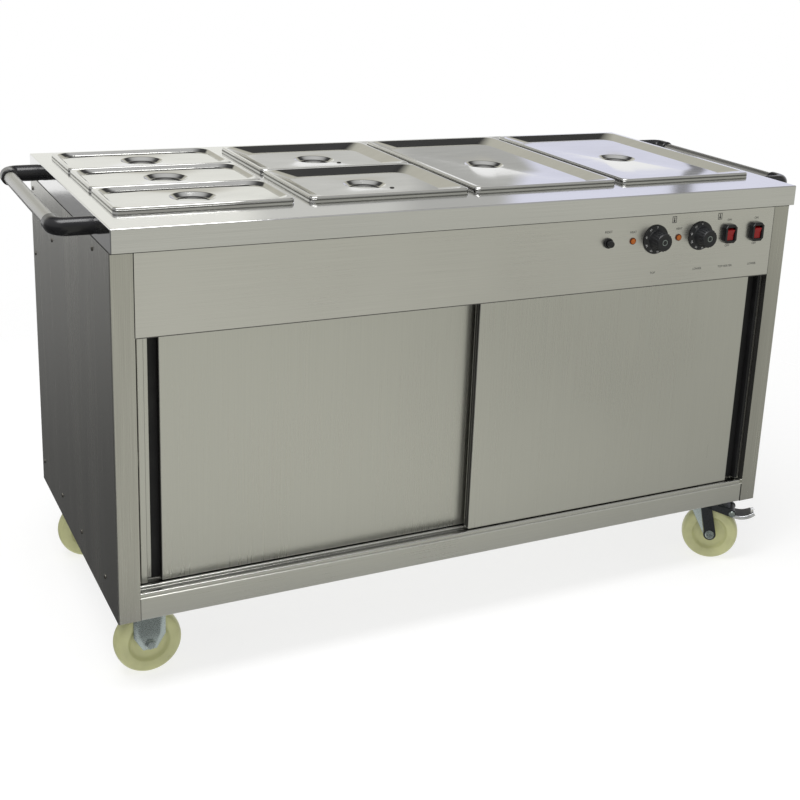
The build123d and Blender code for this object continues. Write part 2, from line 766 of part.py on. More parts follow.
# Thermostats behind the fascia, with a threaded bushing through it
with BuildPart() as thermostat_bodies:
    with BuildSketch(fascia_plane.offset(-sheet)):
        with Locations(*[(x, control_z) for x in knob_x]):
            Rectangle(thermostat_side, thermostat_side)
    extrude(amount=-thermostat_depth)
    with BuildSketch(fascia_plane.offset(-sheet)):
        with Locations(*[(x, control_z) for x in knob_x]):
            Circle(bushing_diameter / 2)
    extrude(amount=sheet + bushing_reach)
    with BuildSketch(fascia_plane.offset(bushing_reach)):
        with Locations(*[(x, control_z) for x in knob_x]):
            Circle(shaft_diameter / 2 + running_gap)
    extrude(amount=-knob_spigot - bushing_room, mode=Mode.SUBTRACT)
thermostat_bodies.part.label = "thermostat_bodies"
export_step(thermostat_bodies.part, "parts/thermostat_bodies.step")

# Thermostat knobs: a numbered skirt, a fluted grip and the spindle that they turn
for knob_name, x in zip(("left", "right"), knob_x):
    with BuildPart() as knob:
        with BuildSketch(fascia_plane.offset(knob_gap)):
            with Locations((x, control_z)):
                Circle(knob_skirt_diameter / 2)
        extrude(amount=knob_skirt)
        with BuildSketch(fascia_plane.offset(knob_gap + knob_skirt)):
            with Locations((x, control_z)):
                Circle(knob_grip_diameter / 2)
        with BuildSketch(fascia_plane.offset(knob_reach)):
            with Locations((x, control_z)):
                Circle(knob_tip_diameter / 2)
        loft()
        with BuildSketch(fascia_plane.offset(knob_reach)):
            with Locations((x, control_z)):
                with PolarLocations(knob_grip_diameter / 2, knob_flutes):
                    Circle(knob_flute_diameter / 2)
        extrude(amount=knob_gap + 2 * knob_skirt - knob_reach, mode=Mode.SUBTRACT)
        with BuildSketch(fascia_plane.offset(knob_gap)):
            with Locations((x, control_z)):
                Circle(bushing_diameter / 2 + bushing_room)
        extrude(amount=bushing_reach + bushing_room, mode=Mode.SUBTRACT)
        with BuildSketch(fascia_plane.offset(bushing_reach + bushing_room + knob_gap)):
            with Locations((x, control_z)):
                Circle(shaft_diameter / 2)
        extrude(amount=-knob_spigot)
    knob.part.label = f"{knob_name}_thermostat_knob"
    export_step(knob.part, f"parts/{knob_name}_thermostat_knob.step")

# Rocker switches: a housing with a raised bezel, and a rocker on its own pin
window_height = 2 * (rocker_radius + rocker_gap)
rocker_width = window_width - 2 * rocker_gap
pivot_y = face_y + rocker_pivot_drop
with BuildPart() as switch_housings:
    for x in switch_x:
        with BuildSketch(fascia_plane):
            with Locations((x, control_z)):
                Rectangle(bezel_width, bezel_height)
            chamfer(vertices(), bezel_chamfer)
        extrude(amount=bezel_rise)
        with BuildSketch(fascia_plane):
            with Locations((x, control_z)):
                Rectangle(switch_width, switch_height)
        extrude(amount=-switch_depth)
        with BuildSketch(fascia_plane.offset(bezel_rise)):
            with Locations((x, control_z)):
                Rectangle(window_width, window_height)
        extrude(amount=-window_depth, mode=Mode.SUBTRACT)
        with BuildSketch(Plane(origin=(x, pivot_y, control_z), z_dir=(1, 0, 0))):
            Circle(rocker_pin_diameter / 2 + running_gap)
        extrude(amount=window_width / 2 + rocker_pin_grip, both=True, mode=Mode.SUBTRACT)
switch_housings.part.label = "switch_housings"
export_step(switch_housings.part, "parts/switch_housings.step")

tilt = radians(rocker_tilt)
end_height = (rocker_radius**2 - rocker_end**2) ** 0.5
back_height = (rocker_radius**2 - rocker_back**2) ** 0.5
for rocker_name, x in zip(("left", "right"), switch_x):
    # local x of this plane points out of the fascia, tipped up at the top end
    rocker_plane = Plane(
        origin=(x, pivot_y, control_z),
        x_dir=(0, -cos(tilt), -sin(tilt)),
        z_dir=(1, 0, 0),
    )
    with BuildPart() as rocker:
        with BuildSketch(rocker_plane):
            with BuildLine():
                Polyline((rocker_end, end_height), (rocker_valley, 0), (rocker_end, -end_height))
                ThreePointArc((rocker_end, -end_height), (0, -rocker_radius), (-rocker_back, -back_height))
                Line((-rocker_back, -back_height), (-rocker_back, back_height))
                ThreePointArc((-rocker_back, back_height), (0, rocker_radius), (rocker_end, end_height))
            make_face()
        extrude(amount=rocker_width / 2, both=True)
        with BuildSketch(rocker_plane):
            Circle(rocker_pin_diameter / 2)
        extrude(amount=window_width / 2 + rocker_pin_grip - running_gap, both=True)
    rocker.part.label = f"{rocker_name}_rocker"
    export_step(rocker.part, f"parts/{rocker_name}_rocker.step")

# Indicator lamps
with BuildPart() as indicator_lamps:
    with BuildSketch(fascia_plane):
        with Locations(*[(x, control_z) for x in lamp_x]):
            Circle(lamp_diameter / 2)
    extrude(amount=lamp_flange)
    with BuildSketch(fascia_plane.offset(lamp_flange)):
        with Locations(*[(x, control_z) for x in lamp_x]):
            Circle(lamp_neck_diameter / 2)
    extrude(amount=lamp_dome, taper=lamp_taper)
    with BuildSketch(fascia_plane):
        with Locations(*[(x, control_z) for x in lamp_x]):
            Circle(lamp_neck_diameter / 2)
    extrude(amount=-lamp_depth)
indicator_lamps.part.label = "indicator_lamps"
export_step(indicator_lamps.part, "parts/indicator_lamps.step")

# Thermal cut-out with its reset button
button_bore = button_diameter / 2 + fit_gap
with BuildPart() as cutout_body:
    with BuildSketch(fascia_plane):
        with Locations((reset_x, control_z)):
            Circle(collar_ring_diameter / 2)
    extrude(amount=collar_ring)
    with BuildSketch(fascia_plane):
        with Locations((reset_x, control_z)):
            Circle(reset_neck_diameter / 2)
    extrude(amount=-reset_depth)
    with BuildSketch(fascia_plane.offset(collar_ring)):
        with Locations((reset_x, control_z)):
            Circle(button_bore)
    extrude(amount=-reset_bore_depth, mode=Mode.SUBTRACT)
cutout_body.part.label = "cutout_body"
export_step(cutout_body.part, "parts/cutout_body.step")

with BuildPart() as reset_button:
    with BuildSketch(fascia_plane.offset(collar_ring + button_reach)):
        with Locations((reset_x, control_z)):
            Circle(button_diameter / 2)
    extrude(amount=-button_reach - collar_ring - button_stem)
reset_button.part.label = "reset_button"
export_step(reset_button.part, "parts/reset_button.step")

# Cable gland low on the right end
with BuildPart() as cable_gland:
    gland_place = (rear_y - gland_back_inset, gland_height)
    with BuildSketch(right_plane):
        with Locations(gland_place):
            RegularPolygon(gland_nut / 2, 6)
    extrude(amount=gland_nut_length)
    with BuildSketch(right_plane.offset(gland_nut_length)):
        with Locations(gland_place):
            Circle(gland_diameter / 2)
    extrude(amount=gland_dome_length, taper=gland_taper)
    with BuildSketch(right_plane):
        with Locations(gland_place):
            Circle(gland_diameter / 2)
    extrude(amount=-sheet - gland_nut_length)
    with BuildSketch(right_plane.offset(gland_nut_length + gland_dome_length)):
        with Locations(gland_place):
            Circle(gland_cord_hole / 2)
    extrude(amount=-gland_dome_length - 2 * gland_nut_length - sheet, mode=Mode.SUBTRACT)
cable_gland.part.label = "cable_gland"
export_step(cable_gland.part, "parts/cable_gland.step")

# Handles: a tube across each end, held in two elbows on the worktop skirt
arm_y = (top_mid_y - handle_span / 2, top_mid_y + handle_span / 2)
with BuildPart() as handle_elbows:
    for side in (-1, 1):
        for y, toward in zip(arm_y, (1, -1)):
            bar_x = side * (end_x + handle_reach)
            mouth_y = y + toward * (handle_bend + handle_collar)
            with BuildLine():
                route = FilletPolyline(
                    (side * end_x, y, handle_z),
                    (bar_x, y, handle_z),
                    (bar_x, mouth_y, handle_z),
                    radius=handle_bend,
                )
            with BuildSketch(Plane(origin=route @ 0, z_dir=route % 0)):
                Circle(handle_arm_diameter / 2)
            sweep()
            with BuildSketch(Plane(origin=(bar_x, mouth_y, handle_z), z_dir=(0, toward, 0))):
                Circle(handle_tube_diameter / 2 + hole_gap)
            extrude(amount=-socket_depth, mode=Mode.SUBTRACT)
handle_elbows.part.label = "handle_elbows"
export_step(handle_elbows.part, "parts/handle_elbows.step")

with BuildPart() as handle_tubes:
    tube_start = arm_y[0] + handle_bend + handle_collar - socket_depth
    tube_end = arm_y[1] - handle_bend - handle_collar + socket_depth
    for side in (-1, 1):
        with BuildSketch(Plane(origin=(side * (end_x + handle_reach), tube_start, handle_z), z_dir=(0, 1, 0))):
            Circle(handle_tube_diameter / 2)
            Circle(handle_tube_diameter / 2 - handle_wall, mode=Mode.SUBTRACT)
        extrude(amount=tube_end - tube_start)
handle_tubes.part.label = "handle_tubes"
export_step(handle_tubes.part, "parts/handle_tubes.step")

# Screws through both end panels
with BuildPart() as panel_screws:
    for side, plane in ((-1, left_plane), (1, right_plane)):
        with BuildSketch(plane):
            with Locations(*[(side * y, z) for y, z in screw_points]):
                Circle(screw_head_diameter / 2)
        extrude(amount=screw_head, taper=screw_taper)
        with BuildSketch(plane):
            with Locations(*[(side * y, z) for y, z in screw_points]):
                Circle(screw_diameter / 2)
        extrude(amount=-screw_length)
panel_screws.part.label = "panel_screws"
export_step(panel_screws.part, "parts/panel_screws.step")


def side_view(x, y, yaw):
    """A plane through a caster: local x is its rolling direction, local y is up."""
    forward = (cos(radians(yaw)), sin(radians(yaw)), 0)
    axle = (sin(radians(yaw)), -cos(radians(yaw)), 0)
    return Plane(origin=(x, y, 0), x_dir=forward, z_dir=axle)


def two_cheeks():
    """The start and thickness of the two fork cheeks along the axle."""
    return ((fork_gap / 2, fork_sheet), (-fork_gap / 2, -fork_sheet))


def axle_bolt(plane, along):
    """An axle with a head at each end, at a distance along the rolling direction."""
    half = fork_gap / 2 + fork_sheet
    with BuildPart() as bolt:
        with BuildSketch(plane.offset(-half)):
            with Locations((along, wheel_radius)):
                Circle(axle_diameter / 2)
        extrude(amount=2 * half)
        for end in (-1, 1):
            with BuildSketch(plane.offset(end * half)):
                with Locations((along, wheel_radius)):
                    RegularPolygon(axle_head_diameter / 2, 6)
            extrude(amount=end * axle_head)
    return bolt.part


def caster_wheel(plane, along):
    """A turned wheel with a hub, a stepped web and a crowned tread."""
    middle = plane.from_local_coords((along, wheel_radius, 0))
    radial = Plane(origin=middle, x_dir=(0, 0, 1), z_dir=plane.x_dir)
    bore = axle_diameter / 2 + running_gap
    edge = wheel_radius - tread_crown
    with BuildPart() as wheel:
        with BuildSketch(radial):
            with BuildLine():
                Polyline(
                    (edge, wheel_width / 2),
                    (rim_diameter / 2, wheel_width / 2),
                    (web_step_diameter / 2, web_step_width / 2),
                    (web_diameter / 2, web_width / 2),
                    (hub_diameter / 2, web_width / 2),
                    (hub_diameter / 2, hub_width / 2),
                    (bore, hub_width / 2),
                    (bore, -hub_width / 2),
                    (hub_diameter / 2, -hub_width / 2),
                    (hub_diameter / 2, -web_width / 2),
                    (web_diameter / 2, -web_width / 2),
                    (web_step_diameter / 2, -web_step_width / 2),
                    (rim_diameter / 2, -wheel_width / 2),
                    (edge, -wheel_width / 2),
                )
                ThreePointArc((edge, -wheel_width / 2), (wheel_radius, 0), (edge, wheel_width / 2))
            make_face()
        revolve(axis=Axis(middle, plane.z_dir))
    return wheel.part


# Fixed casters at the left end: plate, tapered fork and axle
wheels = {}
with BuildPart() as fixed_forks:
    for y in fixed_y:
        plane = side_view(fixed_x, y, 0)
        with BuildSketch(Plane.XY.offset(plate_bottom)):
            with Locations((fixed_x, y)):
                Rectangle(plate_length, plate_width)
                with GridLocations(plate_hole_pitch_x, plate_hole_pitch_y, 2, 2):
                    Circle(caster_bolt_diameter / 2 + hole_gap, mode=Mode.SUBTRACT)
        extrude(amount=plate_thickness)
        for start, thickness in two_cheeks():
            with BuildSketch(plane.offset(start)):
                Polygon(
                    (-fork_top_width / 2, plate_bottom),
                    (-fork_top_width / 2, wheel_radius + fork_shoulder),
                    (-fork_toe_width / 2, wheel_radius - fork_toe_drop),
                    (fork_toe_width / 2, wheel_radius - fork_toe_drop),
                    (fork_top_width / 2, wheel_radius + fork_shoulder),
                    (fork_top_width / 2, plate_bottom),
                    align=None,
                )
                with Locations((0, wheel_radius)):
                    Circle(axle_diameter / 2 + axle_hole_gap / 2, mode=Mode.SUBTRACT)
            extrude(amount=thickness)
fixed_axles = [axle_bolt(side_view(fixed_x, y, 0), 0) for y in fixed_y]
fixed_caster_forks = Compound(
    label="fixed_caster_forks",
    children=[*fixed_forks.part.solids(), *fixed_axles],
)
export_step(fixed_caster_forks, "parts/fixed_caster_forks.step")
for end_name, y in zip(("front", "rear"), fixed_y):
    wheels[f"left_{end_name}_wheel"] = caster_wheel(side_view(fixed_x, y, 0), 0)

# Swivel casters at the right end: fixed plate with race and kingpin
race_bottom = plate_bottom - race_height
crown_top = race_bottom - race_gap
crown_bottom = crown_top - crown_thickness
kingpin_head_top = crown_bottom - race_gap
with BuildPart() as swivel_caster_plates:
    for y in swivel_y:
        with BuildSketch(Plane.XY.offset(plate_bottom)):
            with Locations((swivel_x, y)):
                Rectangle(plate_length, plate_width)
                with GridLocations(plate_hole_pitch_x, plate_hole_pitch_y, 2, 2):
                    Circle(caster_bolt_diameter / 2 + hole_gap, mode=Mode.SUBTRACT)
        extrude(amount=plate_thickness)
        for radius, top, height in (
            (race_diameter / 2, plate_bottom, race_height),
            (kingpin_diameter / 2, race_bottom, race_bottom - kingpin_head_top),
            (kingpin_head_diameter / 2, kingpin_head_top, kingpin_head),
        ):
            with BuildSketch(Plane.XY.offset(top)):
                with Locations((swivel_x, y)):
                    Circle(radius)
            extrude(amount=-height)
swivel_caster_plates.part.label = "swivel_caster_plates"
export_step(swivel_caster_plates.part, "parts/swivel_caster_plates.step")

# Swivel forks with their axles and brake pedals
pedal_u = swivel_trail + pedal_pivot_forward
pedal_z = wheel_radius + pedal_pivot_up
for end_name, y, yaw in zip(("front", "rear"), swivel_y, swivel_yaw):
    plane = side_view(swivel_x, y, yaw)
    with BuildPart() as fork:
        with BuildSketch(Plane.XY.offset(crown_bottom)):
            with Locations((swivel_x, y)):
                Circle(race_diameter / 2)
                Circle(kingpin_diameter / 2 + running_gap, mode=Mode.SUBTRACT)
        extrude(amount=crown_thickness)
        for start, thickness in two_cheeks():
            with BuildSketch(plane.offset(start)):
                with Locations((0, crown_bottom + crown_thickness / 2)):
                    Rectangle(swivel_top_width, crown_thickness)
                with Locations((swivel_trail, wheel_radius)):
                    Circle(swivel_eye_radius)
                make_hull()
                with Locations((swivel_trail, wheel_radius)):
                    Circle(axle_diameter / 2 + axle_hole_gap / 2, mode=Mode.SUBTRACT)
            extrude(amount=thickness)
            with BuildSketch(plane.offset(start)):
                with Locations(((swivel_top_width - pedal_ear_root) / 2, crown_top - pedal_ear_root / 2)):
                    Circle(pedal_ear_root / 2)
                with Locations((pedal_u, pedal_z)):
                    Circle(pedal_ear_radius)
                make_hull()
                with Locations((pedal_u, pedal_z)):
                    Circle(pedal_pin_diameter / 2 + running_gap, mode=Mode.SUBTRACT)
            extrude(amount=thickness)
    swivel_fork = Compound(
        label=f"right_{end_name}_fork",
        children=[*fork.part.solids(), axle_bolt(plane, swivel_trail)],
    )
    export_step(swivel_fork, f"parts/right_{end_name}_fork.step")
    wheels[f"right_{end_name}_wheel"] = caster_wheel(plane, swivel_trail)

    tube_half = fork_gap / 2 - pedal_side_gap
    ear_outside = fork_gap / 2 + fork_sheet + race_gap
    with BuildPart() as pedal:
        for radius, half in ((pedal_tube_radius, tube_half), (pedal_pin_diameter / 2, ear_outside)):
            with BuildSketch(plane):
                with Locations((pedal_u, pedal_z)):
                    Circle(radius)
            extrude(amount=half, both=True)
        for end in (-1, 1):
            with BuildSketch(plane.offset(end * ear_outside)):
                with Locations((pedal_u, pedal_z)):
                    Circle(pedal_pin_head_diameter / 2)
            extrude(amount=end * pedal_pin_head)
        with BuildSketch(plane):
            low = pedal_z - pedal_tube_radius
            belly = pedal_u + pedal_length / 2
            tip = pedal_u + pedal_length
            tip_z = pedal_z + pedal_tip_rise
            with BuildLine():
                ThreePointArc((pedal_u, low), (belly, low - pedal_dip), (tip, tip_z))
                Line((tip, tip_z), (tip - pedal_sheet, tip_z + pedal_sheet))
                ThreePointArc(
                    (tip - pedal_sheet, tip_z + pedal_sheet),
                    (belly, low - pedal_dip + pedal_sheet),
                    (pedal_u, low + pedal_sheet),
                )
                Line((pedal_u, low + pedal_sheet), (pedal_u, low))
            make_face()
        extrude(amount=tube_half, both=True)
    pedal.part.label = f"right_{end_name}_brake_pedal"
    export_step(pedal.part, f"parts/right_{end_name}_brake_pedal.step")

for wheel_name, wheel_part in wheels.items():
    wheel_part.label = wheel_name
    export_step(wheel_part, f"parts/{wheel_name}.step")

# Bolts and nuts that hold the caster plates to the cross members
with BuildPart() as caster_bolts:
    nut_bottom = caster_height + cross_member_sheet
    for x, caster_y in caster_rows:
        for y in caster_y:
            for height, depth, radius in (
                (plate_bottom, -caster_bolt_head, caster_bolt_head_diameter / 2),
                (plate_bottom, caster_bolt_length, caster_bolt_diameter / 2),
                (nut_bottom, caster_bolt_head, caster_bolt_head_diameter / 2),
            ):
                with BuildSketch(Plane.XY.offset(height)):
                    with Locations((x, y)):
                        with GridLocations(plate_hole_pitch_x, plate_hole_pitch_y, 2, 2):
                            Circle(radius)
                extrude(amount=depth)
caster_bolts.part.label = "caster_bolts"
export_step(caster_bolts.part, "parts/caster_bolts.step")
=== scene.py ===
# %% [markdown]
# # A mobile hot cupboard
# A long stainless steel trolley keeps food hot. Sliding doors close a heated cupboard below,
# and seven lidded pans sit in the heated top. The CAD solids give every place and joint.
# This lesson dresses them: it paints the sheet metal and builds the pieces whose curves
# show, such as lids, knobs, handles and casters.

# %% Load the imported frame
import json
from math import atan, atan2, cos, pi, radians, sin, tan, tau

import bmesh
import bpy
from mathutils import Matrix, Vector


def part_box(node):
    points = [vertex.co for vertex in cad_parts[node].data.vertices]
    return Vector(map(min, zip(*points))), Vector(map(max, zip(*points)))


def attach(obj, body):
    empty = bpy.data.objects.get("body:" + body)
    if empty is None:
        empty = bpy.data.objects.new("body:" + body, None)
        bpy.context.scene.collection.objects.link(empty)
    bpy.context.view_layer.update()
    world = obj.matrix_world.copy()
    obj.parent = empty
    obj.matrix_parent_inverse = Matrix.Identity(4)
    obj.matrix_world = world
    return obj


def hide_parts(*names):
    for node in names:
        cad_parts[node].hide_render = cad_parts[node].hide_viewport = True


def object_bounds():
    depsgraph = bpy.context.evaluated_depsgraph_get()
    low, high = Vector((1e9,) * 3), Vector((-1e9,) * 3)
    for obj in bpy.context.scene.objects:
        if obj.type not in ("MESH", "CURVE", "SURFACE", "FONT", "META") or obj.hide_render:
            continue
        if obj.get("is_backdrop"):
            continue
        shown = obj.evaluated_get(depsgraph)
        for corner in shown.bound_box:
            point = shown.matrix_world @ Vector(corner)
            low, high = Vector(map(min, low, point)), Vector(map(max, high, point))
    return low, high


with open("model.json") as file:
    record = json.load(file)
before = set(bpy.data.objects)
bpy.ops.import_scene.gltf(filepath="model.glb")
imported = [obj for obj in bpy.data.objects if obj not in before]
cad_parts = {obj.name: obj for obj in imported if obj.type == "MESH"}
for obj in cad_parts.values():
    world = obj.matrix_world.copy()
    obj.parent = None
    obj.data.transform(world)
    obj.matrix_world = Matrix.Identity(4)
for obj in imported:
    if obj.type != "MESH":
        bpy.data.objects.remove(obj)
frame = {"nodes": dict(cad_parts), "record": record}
nodes = frame["nodes"]
cad_bounds = [list(corner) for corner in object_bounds()]
scene = bpy.context.scene
print(len(nodes), "CAD nodes in the box", cad_bounds)

# %% [markdown]
# ## Camera
# The camera stands in front of the left end, a little above the worktop. Its place, turn and
# lens come from the corners of the lids and the cabinet, which have known sizes. The small
# shift puts the optical centre where those corners ask for it.

# %% The camera
scene.view_settings.view_transform = "Standard"
lens = bpy.data.cameras.new("lens")
lens.sensor_width = 36.0
lens.lens = 58.85
lens.shift_x = -0.0658
lens.shift_y = -0.1204
camera = bpy.data.objects.new("camera", lens)
camera.location = (-1.1866, -2.3851, 1.3760)
camera.rotation_euler = [radians(angle) for angle in (73.487, -2.750, -27.387)]
scene.collection.objects.link(camera)
scene.camera = camera
print("camera at", tuple(camera.location), "with a", lens.lens, "mm lens")

# %% [markdown]
# ## Studio
# Polished steel is mostly a picture of the room around it. A white backdrop stands low behind
# the trolley, the room above it is dim, and the room in front is a calm grey. The lids then
# show white panels and darker slopes. Camera rays see white everywhere, and glossy and
# transmission rays see the same white where the backdrop stands.


# %% A node with its values
def add(tree, kind, inputs=None, **settings):
    """A new node with its settings and the default values or links of its inputs."""
    made = tree.nodes.new(kind)
    for name, value in settings.items():
        setattr(made, name, value)
    for name, value in (inputs or {}).items():
        if isinstance(value, bpy.types.NodeSocket):
            tree.links.new(value, made.inputs[name])
        else:
            made.inputs[name].default_value = value
    return made


# %% Sums and shares in a tree
def calc(tree, operation, *values):
    """The result of a Math node on numbers or sockets."""
    return add(tree, "ShaderNodeMath", dict(enumerate(values)), operation=operation).outputs[0]


def share(tree, value, start, end, **settings):
    """How far a value lies between two limits, from 0 to 1."""
    limits = {"Value": value, "From Min": start, "From Max": end}
    return add(tree, "ShaderNodeMapRange", limits, **settings).outputs["Result"]


# %% Colours in a tree
def mix(tree, factor, first, second, **settings):
    """Two colours mixed by a factor."""
    colours = {"Fac": factor, "Color1": first, "Color2": second}
    return add(tree, "ShaderNodeMixRGB", colours, **settings).outputs["Color"]


def ramp(tree, factor, stops):
    """A colour ramp from a list of (position, grey or colour)."""
    made = add(tree, "ShaderNodeValToRGB", {"Fac": factor})
    elements = made.color_ramp.elements
    for index, (position, colour) in enumerate(stops):
        stop = elements[index] if index < 2 else elements.new(position)
        stop.position = position
        stop.color = (*colour, 1) if isinstance(colour, tuple) else (colour, colour, colour, 1)
    return made.outputs["Color"]

# %% [markdown]
# A world is a picture on a sphere round the scene. It could be an image of a studio. Here the
# direction of each ray is split into its height and its way round, and all tones of the room are
# drawn on those, so each of them can be moved by one number.

# %% Directions in the room
world = bpy.data.worlds.new("studio")
scene.world = world
world.use_nodes = True
room = world.node_tree
room.nodes.clear()
way = add(room, "ShaderNodeTexCoord").outputs["Generated"]
split = add(room, "ShaderNodeSeparateXYZ", {"Vector": way}).outputs
height = share(room, split["Z"], -1.0, 1.0)
behind = share(room, split["Y"], -0.1, 0.35)
leftward = share(room, split["X"], -0.25, -0.6)
along = share(room, calc(room, "DIVIDE", split["X"], split["Y"]), 0.25, 1.0)
above = share(room, height, 0.63, 0.66)
print("directions from", len(room.nodes), "nodes")

# %% [markdown]
# The polished lids see the low part of the room behind them. It could be one plain tone, but
# real lids change from warm to cool and show a dark upright. A ramp round the compass gives
# those bands on the screen, and ramps by height give the ceiling, the front and the left.

# %% Tones of the room
NEAR, HALFWAY, WARM = (0.94, 0.94, 0.89), (0.66, 0.66, 0.635), (0.49, 0.49, 0.475)
COOL, PILLAR = (0.80, 0.81, 0.95), (0.24, 0.24, 0.25)
screen = ramp(room, along, [
    (0.0, NEAR), (0.115, NEAR), (0.147, HALFWAY), (0.29, HALFWAY), (0.333, WARM), (0.44, WARM),
    (0.467, COOL), (0.692, COOL), (0.699, PILLAR), (0.721, PILLAR), (0.728, COOL), (1.0, COOL)])
ceiling = ramp(room, height, [
    (0.0, 0.6), (0.64, (0.62, 0.60, 0.53)), (0.735, (0.58, 0.57, 0.50)), (0.775, 0.05),
    (0.86, 0.08), (0.93, 0.5), (1.0, 0.75)])
front_room = ramp(room, height, [
    (0.0, 0.55), (0.44, (0.52, 0.52, 0.46)), (0.53, (0.50, 0.50, 0.45)), (0.75, 0.4), (1.0, 0.6)])
left_room = ramp(room, height, [(0.0, 0.12), (0.46, 0.16), (0.6, 0.5), (1.0, 0.6)])
around = mix(room, behind, front_room, mix(room, above, screen, ceiling))
sides = mix(room, leftward, around, left_room)
print("room with", len(room.nodes), "nodes")

# %% [markdown]
# The page behind the trolley is plain white, so camera rays see white all round. Steel that saw
# only white would look like paper, so glossy rays see white just where the low backdrop stands.
# A Light Path node tells the rays apart.

# %% What each kind of ray sees
BACKDROP_TOP = 0.555
rays = add(room, "ShaderNodeLightPath").outputs
seen = calc(room, "MAXIMUM", rays["Is Camera Ray"], rays["Is Transmission Ray"])
low_behind = calc(room, "MULTIPLY", calc(room, "LESS_THAN", height, BACKDROP_TOP), behind)
backdrop = calc(room, "MULTIPLY", low_behind, calc(room, "SUBTRACT", 1.0, leftward))
white = calc(room, "MAXIMUM", seen, calc(room, "MULTIPLY", rays["Is Glossy Ray"], backdrop))
light = add(room, "ShaderNodeBackground", {"Color": mix(room, white, sides, (1, 1, 1, 1)), "Strength": 1.0})
add(room, "ShaderNodeOutputWorld", {"Surface": light.outputs["Background"]})
print("world done with", len(room.nodes), "nodes")

# %% [markdown]
# The floor is a pale disc that fades into the white at its rim, so no edge shows. A plane would
# do too, but a disc fades evenly all round. It keeps a soft shadow under the trolley, and a
# part of its own glow stands for the light that a white floor throws back.

# %% Floor disc
FLOOR_RADIUS = 2.6
disc = bpy.data.meshes.new("floor")
edit = bmesh.new()
bmesh.ops.create_circle(edit, cap_ends=True, segments=96, radius=FLOOR_RADIUS)
edit.to_mesh(disc)
edit.free()
floor = bpy.data.objects.new("floor", disc)
scene.collection.objects.link(floor)
print("floor disc of", FLOOR_RADIUS, "m")

# %% Finish of the floor
FADE_START, FADE_END = 1.3, 2.5
FLOOR_GLOW, FLOOR_BOUNCE = 0.72, 0.5
paint = bpy.data.materials.new("pale_floor")
paint.use_nodes = True
tree = paint.node_tree
tree.nodes.clear()
spot = add(tree, "ShaderNodeTexCoord").outputs["Object"]
reach = add(tree, "ShaderNodeVectorMath", {0: spot}, operation="LENGTH").outputs["Value"]
fade = share(tree, reach, FADE_START, FADE_END, interpolation_type="SMOOTHSTEP")
rays = add(tree, "ShaderNodeLightPath").outputs
seen = calc(tree, "MAXIMUM", rays["Is Camera Ray"], rays["Is Transmission Ray"])
glow = calc(tree, "MULTIPLY", calc(tree, "MAXIMUM", seen, rays["Is Glossy Ray"]), FLOOR_GLOW)
bounce = calc(tree, "MULTIPLY_ADD", rays["Is Diffuse Ray"], FLOOR_BOUNCE, glow)
matt = add(tree, "ShaderNodeBsdfDiffuse", {"Color": (0.36, 0.36, 0.36, 1)}).outputs[0]
lit = add(tree, "ShaderNodeEmission", {"Color": (1, 1, 1, 1), "Strength": bounce}).outputs[0]
both = add(tree, "ShaderNodeAddShader", {0: matt, 1: lit}).outputs[0]
clear = add(tree, "ShaderNodeBsdfTransparent").outputs[0]
blend = add(tree, "ShaderNodeMixShader", {"Fac": fade, 1: both, 2: clear}).outputs[0]
add(tree, "ShaderNodeOutputMaterial", {"Surface": blend})
disc.materials.append(paint)
floor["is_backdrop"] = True
print("floor finish with", len(tree.nodes), "nodes")

# %% [markdown]
# One broad lamp above stands for the softboxes of a studio. Small lamps would leave hard spots
# on the steel, and a broad one leaves only soft edges.

# %% Lamp
softbox = bpy.data.lights.new("softbox", "AREA")
softbox.shape = "RECTANGLE"
softbox.size = 2.6
softbox.size_y = 1.6
softbox.energy = 80
lamp = bpy.data.objects.new("softbox", softbox)
lamp.location = (-0.9, -0.6, 3.4)
scene.collection.objects.link(lamp)
print("lamp of", softbox.energy, "W at", tuple(lamp.location))

# %% [markdown]
# Bare steel on a white floor looks flat, so a photographer lays grey cards where only the metal
# sees them. One lies in front and shades the doors. It darkens towards the trolley, which is a
# painted shadow of the trolley on the floor that the casters and the low steel reflect. One lies
# behind the left end and keeps that end dark, and a small one shades the left caster. Glossy rays
# alone meet them, so they cast no shade and don't show.

# %% A card that only metal sees
CARD_LIFT = 0.0006


def floor_card(name, low, high, stops, across):
    """A card that only metal sees, shaded along Y by a ramp and along X by another."""
    corners = ((low[0], low[1]), (high[0], low[1]), (high[0], high[1]), (low[0], high[1]))
    mesh = bpy.data.meshes.new(name)
    mesh.from_pydata([(x, y, CARD_LIFT) for x, y in corners], [], [(0, 1, 2, 3)])
    card = bpy.data.objects.new(name, mesh)
    scene.collection.objects.link(card)
    grey = bpy.data.materials.new(name)
    grey.use_nodes = True
    tree = grey.node_tree
    tree.nodes.clear()
    coords = add(tree, "ShaderNodeTexCoord").outputs["Object"]
    place = add(tree, "ShaderNodeSeparateXYZ", {"Vector": coords}).outputs
    tones = []
    for axis, start, end, shades in (("Y", low[1], high[1], stops), ("X", low[0], high[0], across)):
        steps = [((at - start) / (end - start), tone) for at, tone in shades]
        tones.append(ramp(tree, share(tree, place[axis], start, end), steps))
    both = mix(tree, 1.0, *tones, blend_type="MULTIPLY")
    lit = add(tree, "ShaderNodeEmission", {"Color": both, "Strength": 1.0})
    add(tree, "ShaderNodeOutputMaterial", {"Surface": lit.outputs[0]})
    mesh.materials.append(grey)
    card.visible_camera = False
    card.visible_diffuse = False
    card.visible_transmission = False
    card.visible_shadow = False
    card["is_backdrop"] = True
    print(name, "from", low, "to", high)

